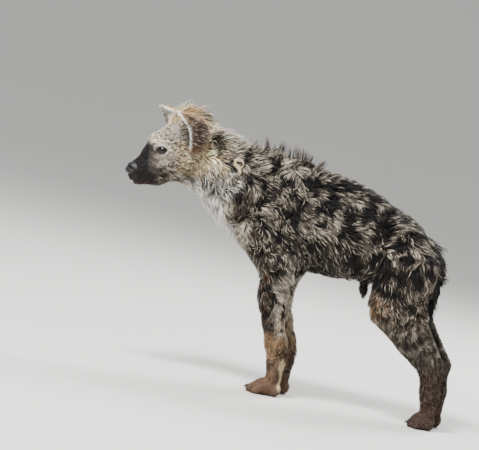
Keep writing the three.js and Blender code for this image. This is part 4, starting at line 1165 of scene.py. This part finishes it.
def make_coat():
    x, y, z = roots.T
    on_tail = long_hair & (root_parts[:, 7] > 0.5)
    trunk_like = long_hair & ~on_tail
    for side in SIDES:
        mine = (np.sign(y) == side) | ((y == 0) & (side == RIGHT))
        trunk, short = trunk_like & mine, ~long_hair & mine
        on_leg = short & (z <= 480)
        for region, chosen, material, slot, tuft in (
            ("neck", trunk & (x < -400), mane_hair, "mane_coat", LONG_TUFT),
            ("chest", trunk & (x >= -400) & (x < -230), long_coat, "body_coat", LONG_TUFT),
            ("flank", trunk & (x >= -230) & (x < -40), long_coat, "body_coat", LONG_TUFT),
            ("rump", trunk & (x >= -40), long_coat, "body_coat", LONG_TUFT),
            ("face", short & (z > 480), face_fur, "face_coat", SHORT_TUFT),
            ("foreleg", on_leg & (x < -100), leg_fur, "leg_coat", SHORT_TUFT),
            ("hindleg", on_leg & (x >= -100), leg_fur, "leg_coat", SHORT_TUFT),
        ):
            coat_piece(f"coat_{region}_{SIDE_NAMES[side]}", chosen, material, slot, tuft)
    coat_piece("coat_tail", on_tail, tail_hair, "tail_hair", LONG_TUFT)


make_coat()

# Loose locks that stand up from the withers, and a pale curl on the side of the neck
WITHERS_LOCKS = (
    (-412, -398, 752),
    (-372, -350, 752),
    (-392, -374, 738),
    (-440, -432, 738),
    (-330, -306, 744),
    (-310, -284, 742),
    (-350, -330, 736),
    (-288, -258, 730),
    (-250, -214, 718),
)
HAIRS_PER_LOCK = 30


def lock_piece(name, stations, outs, thickness, low, high):
    widths = np.full(stations.shape[1], thickness)
    place = on_chart(stations[0], shares(measure(stations[0])[1]))
    profile = np.linspace(1, 0.6, len(stations) - 1)
    tuft_piece(name, "mane_coat", mane_hair, stations, outs, widths, (low, high), place, profile)


def make_withers_locks():
    steps = np.array([0, 0.28, 0.55, 0.8, 1])[:, None, None]
    all_stations = []
    for root_x, tip_x, tip_z in WITHERS_LOCKS:
        scatter = draw.normal(0, (8, 11, 0), (HAIRS_PER_LOCK, 3))
        foot = settle(np.array([root_x, 0.0, 690]) + scatter, 3)[0]
        loose = draw.normal(0, 5, (HAIRS_PER_LOCK, 3))
        tip = np.array([tip_x, 0.0, tip_z]) + scatter * (0.5, 0.45, 0) + loose
        bend = np.array([13.0, 0, 0]) * np.sin(math.pi * steps)
        all_stations.append(foot + (tip - foot) * steps + bend + steps * (1 - steps) * draw.normal(0, 8, 3))
    stations = np.concatenate(all_stations, axis=1)
    count = stations.shape[1]
    outs = np.tile((0.3, 0, 1.0), (count, 1)) + draw.normal(0, 0.5, (count, 3))
    low = RUMP_BROWN * draw.uniform(0.4, 0.9, (count, 1))
    high = mix(np.tile(DARK_GREY * 0.7, (count, 1)), GREY_BROWN, draw.random(count) ** 3)
    lock_piece("mane_locks", stations, normalized(outs), 2.1, low, high)


CURL_TURN = ((13, -6), (14, 6), (7, 14), (-4, 15), (-12, 7), (-11, -3), (-3, -9))
CURL_END = ((5, -16), (8, -26), (4, -36))
HAIRS_IN_CURL = 14


def make_neck_curl():
    foot, out = settle(np.array([[-466.0, -90, 662]]), 4)
    foot, out = foot[0], out[0]
    across = normalized(np.cross((0, 0, 1.0), out))
    upright = np.cross(out, across)
    across = across * np.sign(across[0])
    spread = draw.normal(0, 1, (HAIRS_IN_CURL, 3))
    stations = [foot + 4 * spread]
    for number, (sideways, above) in enumerate(CURL_TURN + CURL_END):
        loose = 1.1 + 0.4 * number
        stations.append(foot + across * sideways + upright * above + out * 34 + loose * spread)
    colours = plain(BLOND, spread)
    outs = plain(out, spread)
    # The curl is painted half as bright at its roots as at its tips: partly darker underhair, partly painted
    # shade inside the lock.
    lock_piece("neck_curl", np.array(stations), outs, 1.2, colours * 0.5, colours * 0.9)


make_withers_locks()
make_neck_curl()


# Eyes, lids and nose
def shaped(name, points, material, slot, replaced=()):
    """Finishes the active primitive: its points, in the head's frame, are brought into place."""
    piece = bpy.context.object
    piece.name = name
    set_points(piece, from_head(points))
    piece.data.materials.append(material)
    bpy.ops.object.shade_smooth()
    belongs(piece, slot, *replaced)
    return piece


def face_outward():
    """Turns the active piece's faces outward and smooths it."""
    bpy.ops.object.mode_set(mode="EDIT")
    bpy.ops.mesh.select_all(action="SELECT")
    bpy.ops.mesh.normals_make_consistent(inside=False)
    bpy.ops.object.mode_set(mode="OBJECT")
    bpy.ops.object.shade_smooth()


def make_eye(side):
    middle, facing, along, up = EYES[side]
    bpy.ops.mesh.primitive_uv_sphere_add(segments=48, ring_count=32, radius=1, location=(0, 0, 0))
    ball = unit_points()
    turned = ball[:, :1] * along + ball[:, 1:2] * up + ball[:, 2:] * facing
    cornea = 0.9 * smooth(ball[:, 2], 0.7, 0.92)
    points = middle + turned * (EYE_RADIUS + cornea)[:, None]
    side_name = SIDE_NAMES[side]
    piece = shaped(f"eye_{side_name}_ball", points, eye_gloss, "eye", (f"eye_{side_name}",))
    off_axis = np.degrees(np.arccos(np.clip(ball[:, 2], -1, 1)))
    eyeball, iris, pupil = hue(24, 18, 16), hue(30, 21, 16), hue(5, 5, 5)
    rings = ((iris, smooth(off_axis, 50, 44)), (pupil, smooth(off_axis, 30, 24)))
    add_markings(piece.data, paint_over(plain(eyeball, ball), *rings))


def make_lids(side):
    middle, facing, along, up = EYES[side]
    bpy.ops.mesh.primitive_torus_add(
        major_segments=48, minor_segments=12, major_radius=1, minor_radius=0.25, location=(0, 0, 0)
    )
    ring = unit_points()
    turn = np.arctan2(ring[:, 1], ring[:, 0])
    outward = (np.hypot(ring[:, 0], ring[:, 1]) - 1) / 0.25
    lift = ring[:, 2] / 0.25
    a = LID_HALF_LENGTH * np.cos(turn)
    b = LID_HALF_HEIGHT * np.sin(turn) * (0.84 + 0.16 * np.abs(np.sin(turn)))
    upper = smooth(np.sin(turn), -0.2, 0.4)
    half = 1.3 + 0.6 * upper
    reach = np.hypot(a, b)
    grow = 1 + outward * half / reach
    a, b = a * grow, b * grow
    above = np.sqrt(np.maximum((EYE_RADIUS + 0.8) ** 2 - a * a - b * b, 1))
    height = above + lift * (1.5 + 0.5 * upper)
    points = middle + a[:, None] * along + b[:, None] * up + height[:, None] * facing
    piece = shaped(f"eyelids_{SIDE_NAMES[side]}", points, lid_leather, "bare_skin")
    add_markings(piece.data, plain(hue(30, 25, 23), points))


for side in SIDES:
    make_eye(side)
    make_lids(side)


NOSTRIL = (
    ((-197, 7, 579), 4.0, 6),
    ((-193, 13, 578), 3.6, 6),
    ((-185, 17, 574), 2.4, 4),
    ((-178, 18.5, 570), 1.6, 2.5),
)


def make_nose():
    bpy.ops.mesh.primitive_uv_sphere_add(segments=112, ring_count=84, radius=1, location=(0, 0, 0))
    ball = unit_points()
    points = np.array([-182.0, 0, 576]) + ball * (19, 20, 16)
    for _ in range(4):
        level = -1.0 - 4.5 * smooth(points[:, 0], -177, -168) - 4.0 * smooth(points[:, 2], 563, 557)
        value = head_distance(points) - level
        slope = slope_of(lambda moved: head_distance(moved) - level, points, value, 0.5)
        front = smooth(points[:, 0], -164, -170)
        points = points - slope * (value * front)[:, None]
    out = normalized(slope)
    groove = smooth(points[:, 2], 580, 572) * smooth(points[:, 0], -184, -190)
    sink = 1.3 * np.exp(-((points[:, 1] / 1.3) ** 2)) * groove
    for side in SIDES:
        for start, end in zip(NOSTRIL, NOSTRIL[1:]):
            for t in np.linspace(0, 1, 6):
                ends = [(np.array(a), np.array(b)) for a, b in zip(start, end)]
                spot, thick, deep = (a + (b - a) * t for a, b in ends)
                nearest = np.linalg.norm(points - spot * (1, side, 1), axis=1).argmin()
                away = np.linalg.norm(points - points[nearest], axis=1)
                sink = np.maximum(sink, deep * np.exp(-((away / thick) ** 2)))
    points = points - out * sink[:, None]
    piece = shaped("nose_pad", points, nose_leather, "nose_skin", ("nose",))
    # The nostrils are painted near black by how deep they sink: painted shade inside the openings.
    add_markings(piece.data, mix(plain(hue(24, 22, 22), points), hue(4, 4, 4), smooth(sink, 1.2, 3.2)))


make_nose()

# Ears: cups rolled round their own axes, as the part has them, by their share t of the height
EAR_BASE = np.array([-22.0, 58, 682])
EAR_TIP = np.array([-106.0, 84, 778])
EAR_OPENS = np.array([-0.98, -0.1, -0.1])
EAR_T = (0, 0.22, 0.46, 0.7, 0.88, 1)
EAR_R = (32, 46, 48, 38, 22, 9)
EAR_HALF = (112, 102, 92, 82, 72, 60)
EAR_LEAN = 12
EAR_SET_BACK = 14
EAR_WALL = 0.0044
EAR_COLUMNS, EAR_ROWS = 36, 40


def ear_frame(side):
    """The ear's base and axis, and the ways up, out of its opening and across it, in the head's frame."""
    mirror = np.array([1, side, 1])
    base, tip, opens = EAR_BASE * mirror, EAR_TIP * mirror, EAR_OPENS * mirror
    axis = tip - base
    up = normalized(axis)
    opens = normalized(opens - up * (opens @ up))
    return base, axis, up, opens, np.cross(up, opens)


def make_ear_cup(side):
    base, axis, _, opens, across = ear_frame(side)
    bpy.ops.mesh.primitive_grid_add(
        x_subdivisions=EAR_COLUMNS, y_subdivisions=EAR_ROWS, size=2, location=(0, 0, 0)
    )
    piece = bpy.context.object
    grid = unit_points()
    c, t = grid[:, 0], (grid[:, 1] + 1) / 2
    t_round = t * (1 - 0.05 * c * c * smooth(t, 0.5, 1))
    radius = np.interp(t, EAR_T, EAR_R) - 2.0
    turn = np.radians(np.interp(t, EAR_T, EAR_HALF)) * c
    lean = EAR_LEAN * np.sin(math.pi * t)
    wave = 1.0 * ripple(np.stack([90 * c, 110 * t, 0 * t], -1), 46, 61 + side)
    forward = EAR_SET_BACK - lean - np.cos(turn) * radius + wave
    sideways = np.sin(turn) * radius
    points = base + axis * t_round[:, None] + opens * forward[:, None] + across * sideways[:, None]
    set_points(piece, from_head(points))
    edge = piece.vertex_groups.new(name="rim")
    for number, (cc, tt) in enumerate(zip(c, t)):
        edge.add([number], float(1 - 0.6 * max(abs(cc) ** 4, tt**6)), "REPLACE")
    apply_modifier(piece, "SOLIDIFY", thickness=EAR_WALL, offset=0, vertex_group="rim", use_rim=True)
    piece.name = f"ear_{SIDE_NAMES[side]}_cup"
    active(piece)
    face_outward()
    return piece


def ear_traits(cup, side):
    """Where the cup's points lie on it: height t, share c of its half width, inside, on the rim, outward."""
    base, axis, _, opens, across = ear_frame(side)
    away = to_head(cup) - base
    t = away @ normalized(axis) / np.linalg.norm(axis)
    radius = np.interp(t, EAR_T, EAR_R)
    side_way = away @ across
    deep = away @ opens - (EAR_SET_BACK - EAR_LEAN * np.sin(math.pi * np.clip(t, 0, 1)))
    half = np.radians(np.interp(t, EAR_T, EAR_HALF))
    c = np.clip(np.arctan2(side_way, -deep) / half, -1, 1)
    inside = (np.hypot(side_way, deep) < radius - 2.0).astype(float)
    rim = np.maximum(smooth(np.abs(c), 0.88, 0.97), smooth(t, 0.93, 0.98))
    outer = away @ np.array([0, side, 0]) - t * axis[1] * side
    return np.stack([t, c, inside, rim, outer])


def ear_colours(traits, points):
    t, _, inside, rim, outer = traits
    patchy = ripple(points, 16, 73)
    back = mix(plain(EAR_FRINGE, points), EAR_BACK, smooth(outer + 5 * patchy, 4, 22))
    back = mix(back, EAR_FRINGE, 0.4 * smooth(t, 0.25, 0.05) + 0.12 * smooth(patchy, 0.5, 1.2))
    # Patches inside the cup are painted darker, fading toward the tip: painted shade in the ear's hollow.
    deep = smooth(ripple(points, 20, 72), -0.6, 0.8) * smooth(t, 0.95, 0.6)
    front = mix(plain(EAR_INSIDE, points), DARK_GREY, 0.45 * deep)
    speck = smooth(ripple(points, 9, 71), 0.1, 0.6)
    shown = rim * smooth(t, 0.03, 0.18)
    return paint_over(mix(back, front, inside), (EAR_RIM, shown), (DARK_GREY, 0.8 * shown * speck))


def grow_ear_hair(side, cup, triangles, cup_traits):
    _, _, *ways = ear_frame(side)
    up, opens, across = (turn_from_head(way) for way in ways)
    roots = sow(cup, triangles, np.where(cup_traits[2] > 0.5, 8.0, 6.5))
    traits = cup_traits[:, nearest_of(cup, roots)]
    t, c, inside, rim, _ = traits
    turn = c * np.radians(np.interp(t, EAR_T, EAR_HALF))
    radial = -opens * np.cos(turn)[:, None] + across * np.sin(turn)[:, None]
    out = normalized(radial * np.where(inside > 0.5, -1, 1)[:, None])
    in_way = up + across * (0.5 * c)[:, None] + opens * 0.3
    back_way = -0.75 * opens - 0.15 * up + np.array([0, 0, -0.35])
    way = in_way + (back_way - in_way) * (1 - inside)[:, None]
    way = normalized(way + draw.normal(0, 0.14, (len(t), 3)))
    long = np.where(inside > 0.5, 15 - 8 * t, 20 - 12 * t) * draw.uniform(0.8, 1.2, len(t))
    long = np.where(rim > 0.5, 4.5, long)
    rise = long * np.where(inside > 0.5, 0.25, 0.2)
    outer_stations = [roots + way * (long * s)[:, None] + out * (rise * s**0.8)[:, None] for s in (0.5, 1)]
    stations = np.array([roots - out * 0.3, *outer_stations])
    colours = ear_colours(traits, roots)
    follow = clump(stations, 0.2, (0, 0.1, 0.3))
    low, high = shade_tufts(colours, follow, np.where(inside > 0.5, 0.3, 0.8))
    # The ear's roots are lifted, those on the rim nearly to their full colour: less painted root shade there.
    low = 1.3 * (low + (colours - low) * (0.75 * rim)[:, None])
    widths = np.where(inside + rim > 0.5, 1.0, 1.7)
    chart = np.stack([0.76 + 0.2 * (c + 1) / 2, 0.42 + 0.06 * np.clip(t, 0, 1)], -1)
    name = f"coat_ear_{SIDE_NAMES[side]}"
    tuft_piece(name, "ear_coat", ear_fur, stations, out, widths, (low, high), chart, (0.9, 0.8))


for side in SIDES:
    piece = make_ear_cup(side)
    cup, triangles = surface_of(piece)
    traits = ear_traits(cup, side)
    # The cup is painted a fifth darker than its hair: painted shade of the hair that lies on it.
    add_markings(piece.data, ear_colours(traits, cup) * 0.8)
    piece.data.materials.append(ear_fur)
    belongs(piece, "ear_coat", f"ear_{SIDE_NAMES[side]}")
    grow_ear_hair(side, cup, triangles, traits)


# Whiskers: four rows of four on each side of the muzzle
def make_whiskers():
    stations = []
    for side in SIDES:
        for row in range(4):
            for column in range(4):
                spot = leaves_head((-166 + 11 * column + 2 * row, 0, 556 + 7 * row), (0, side, 0))
                way = normalized(np.array([0.35 + 0.12 * column, side * 0.9, -0.35 + 0.13 * row]))
                long = 34 + 5 * column + 6 * draw.random()
                tip = spot + way * long + np.array([0.1 * long, 0, -0.12 * long])
                stations.append((spot - way * 2, spot + way * long * 0.5, tip))
    stations = from_head(np.array(stations).transpose(1, 0, 2))
    count = stations.shape[1]
    outs = np.tile((0.0, 0, 1), (count, 1))
    dark = np.tile(hue(30, 26, 24), (count, 1))
    chart = np.stack([0.05 + 0.9 * np.arange(count) / count, np.full(count, 0.5)], -1)
    widths = np.full(count, 0.9)
    tuft_piece("whiskers", "face_coat", face_fur, stations, outs, widths, (dark, dark), chart, (1, 0.6), 0.8)


make_whiskers()

# Claws
CLAW_LENGTH = 12
CLAW_DROP = 6.5
CLAW_WIDTH, CLAW_HEIGHT = 3.3, 3.8


def make_claw(name, root):
    bpy.ops.mesh.primitive_cylinder_add(
        vertices=14, radius=1, depth=1, location=(0, 0, 0), end_fill_type="TRIFAN"
    )
    piece = bpy.context.object
    bpy.ops.object.mode_set(mode="EDIT")
    bpy.ops.mesh.select_all(action="SELECT")
    bpy.ops.mesh.subdivide(number_cuts=3)
    bpy.ops.object.mode_set(mode="OBJECT")
    unit = unit_points()
    t = unit[:, 2] + 0.5
    radius = 1 - 0.62 * t - 0.2 * smooth(t, 0.8, 1)
    x = root[0] - 0.95 * CLAW_LENGTH * t
    y = root[1] + CLAW_WIDTH * radius * unit[:, 0]
    z = root[2] - CLAW_DROP * t * t + CLAW_HEIGHT * radius * unit[:, 1]
    set_points(piece, np.stack([x, y, np.maximum(z, 0.3)], -1))
    piece.name = f"{name}_horn"
    face_outward()
    add_markings(piece.data, mix(plain(hue(30, 25, 22), t), hue(84, 72, 60), smooth(t, 0.3, 0.95)))
    piece.data.materials.append(claw_horn)
    belongs(piece, "claw", name)


def make_claws(side):
    fore_x = -302 + (FAR_FORE_STEP if side == RIGHT else 0)
    hind_x = 191 + (FAR_HIND_STEP if side == RIGHT else 0)
    for number, o in enumerate(TOE_OFFSETS, 1):
        label = f"claw_{SIDE_NAMES[side]}_{number}"
        shorter = 15 if abs(o) > 1 else 0
        make_claw(f"fore_{label}", (fore_x + shorter + 5.5, side * 61 + 20 * o + 2 * side, 17))
        make_claw(f"hind_{label}", (hind_x + shorter + 5.5, side * 62 + 17 * o + 2 * side, 15.5))


for side in SIDES:
    make_claws(side)

# Stage, light and camera: the floor is one sheet that rises smoothly far behind the animal
FLOOR_REACH, FLAT_REACH, FLOOR_CURVE = 27, 10.0, 40


def give(tree, node, **values):
    for socket, value in values.items():
        tree.nodes[node].inputs[socket.replace("_", " ")].default_value = value


bpy.ops.mesh.primitive_grid_add(x_subdivisions=100, y_subdivisions=100, size=2, location=(0, 0, 0))
floor = bpy.context.object
floor.name = "floor"
sheet = unit_points() * FLOOR_REACH
sheet[:, 2] = np.maximum(np.hypot(sheet[:, 0], sheet[:, 1]) - FLAT_REACH, 0) ** 2 / FLOOR_CURVE
floor.data.vertices.foreach_set("co", sheet.astype(np.float32).ravel())
bpy.ops.object.shade_smooth()
floor_paint = bpy.data.materials.new("Pale floor")
floor_paint.use_nodes = True
give(floor_paint.node_tree, "Principled BSDF", Base_Color=(0.62, 0.61, 0.585, 1), Roughness=0.9)
floor.data.materials.append(floor_paint)

world = bpy.data.worlds.new("Studio")
bpy.context.scene.world = world
world.use_nodes = True
give(world.node_tree, "Background", Color=(0.93, 0.94, 0.96, 1), Strength=0.8)


def add_light(name, place, target, size, power):
    bpy.ops.object.light_add(type="AREA", location=place)
    light = bpy.context.object
    light.name = name
    light.data.size = size
    light.data.energy = power
    light.rotation_euler = (Vector(target) - Vector(place)).to_track_quat("-Z", "Y").to_euler()


add_light("High softbox", (-1.6, -2.6, 4.6), (0, 0, 0.45), 1.2, 680)
add_light("Back softbox", (1.6, 2.8, 3.2), (0, 0, 0.5), 1.6, 300)

# Camera: the photograph's feet run downhill, so the view is rolled until they are level
ROLL = math.radians(12.5)
LOOK_DOWN = math.radians(4)
MM_PER_PIXEL = 3.0
IMAGE_WIDTH = 479
VIEW_MIDDLE = (-423.3, 0.0, 474.6)
CAMERA_AWAY = 9.0
SENSOR = 36.0

right = Vector((math.cos(ROLL), math.sin(ROLL) * math.sin(LOOK_DOWN), math.sin(ROLL) * math.cos(LOOK_DOWN)))
upward = Vector((-math.sin(ROLL), math.cos(ROLL) * math.sin(LOOK_DOWN), math.cos(ROLL) * math.cos(LOOK_DOWN)))
backward = right.cross(upward)
middle = Vector(in_frame((VIEW_MIDDLE[0], 0, VIEW_MIDDLE[2] / math.cos(LOOK_DOWN))))
bpy.ops.object.camera_add(location=(0, 0, 0))
camera = bpy.context.object
turn = Matrix((right, upward, backward)).transposed().to_4x4()
camera.matrix_world = Matrix.Translation(middle + backward * CAMERA_AWAY) @ turn
camera.data.sensor_width = SENSOR
camera.data.lens = SENSOR * CAMERA_AWAY / (IMAGE_WIDTH * MM_PER_PIXEL * MM)
bpy.context.scene.camera = camera
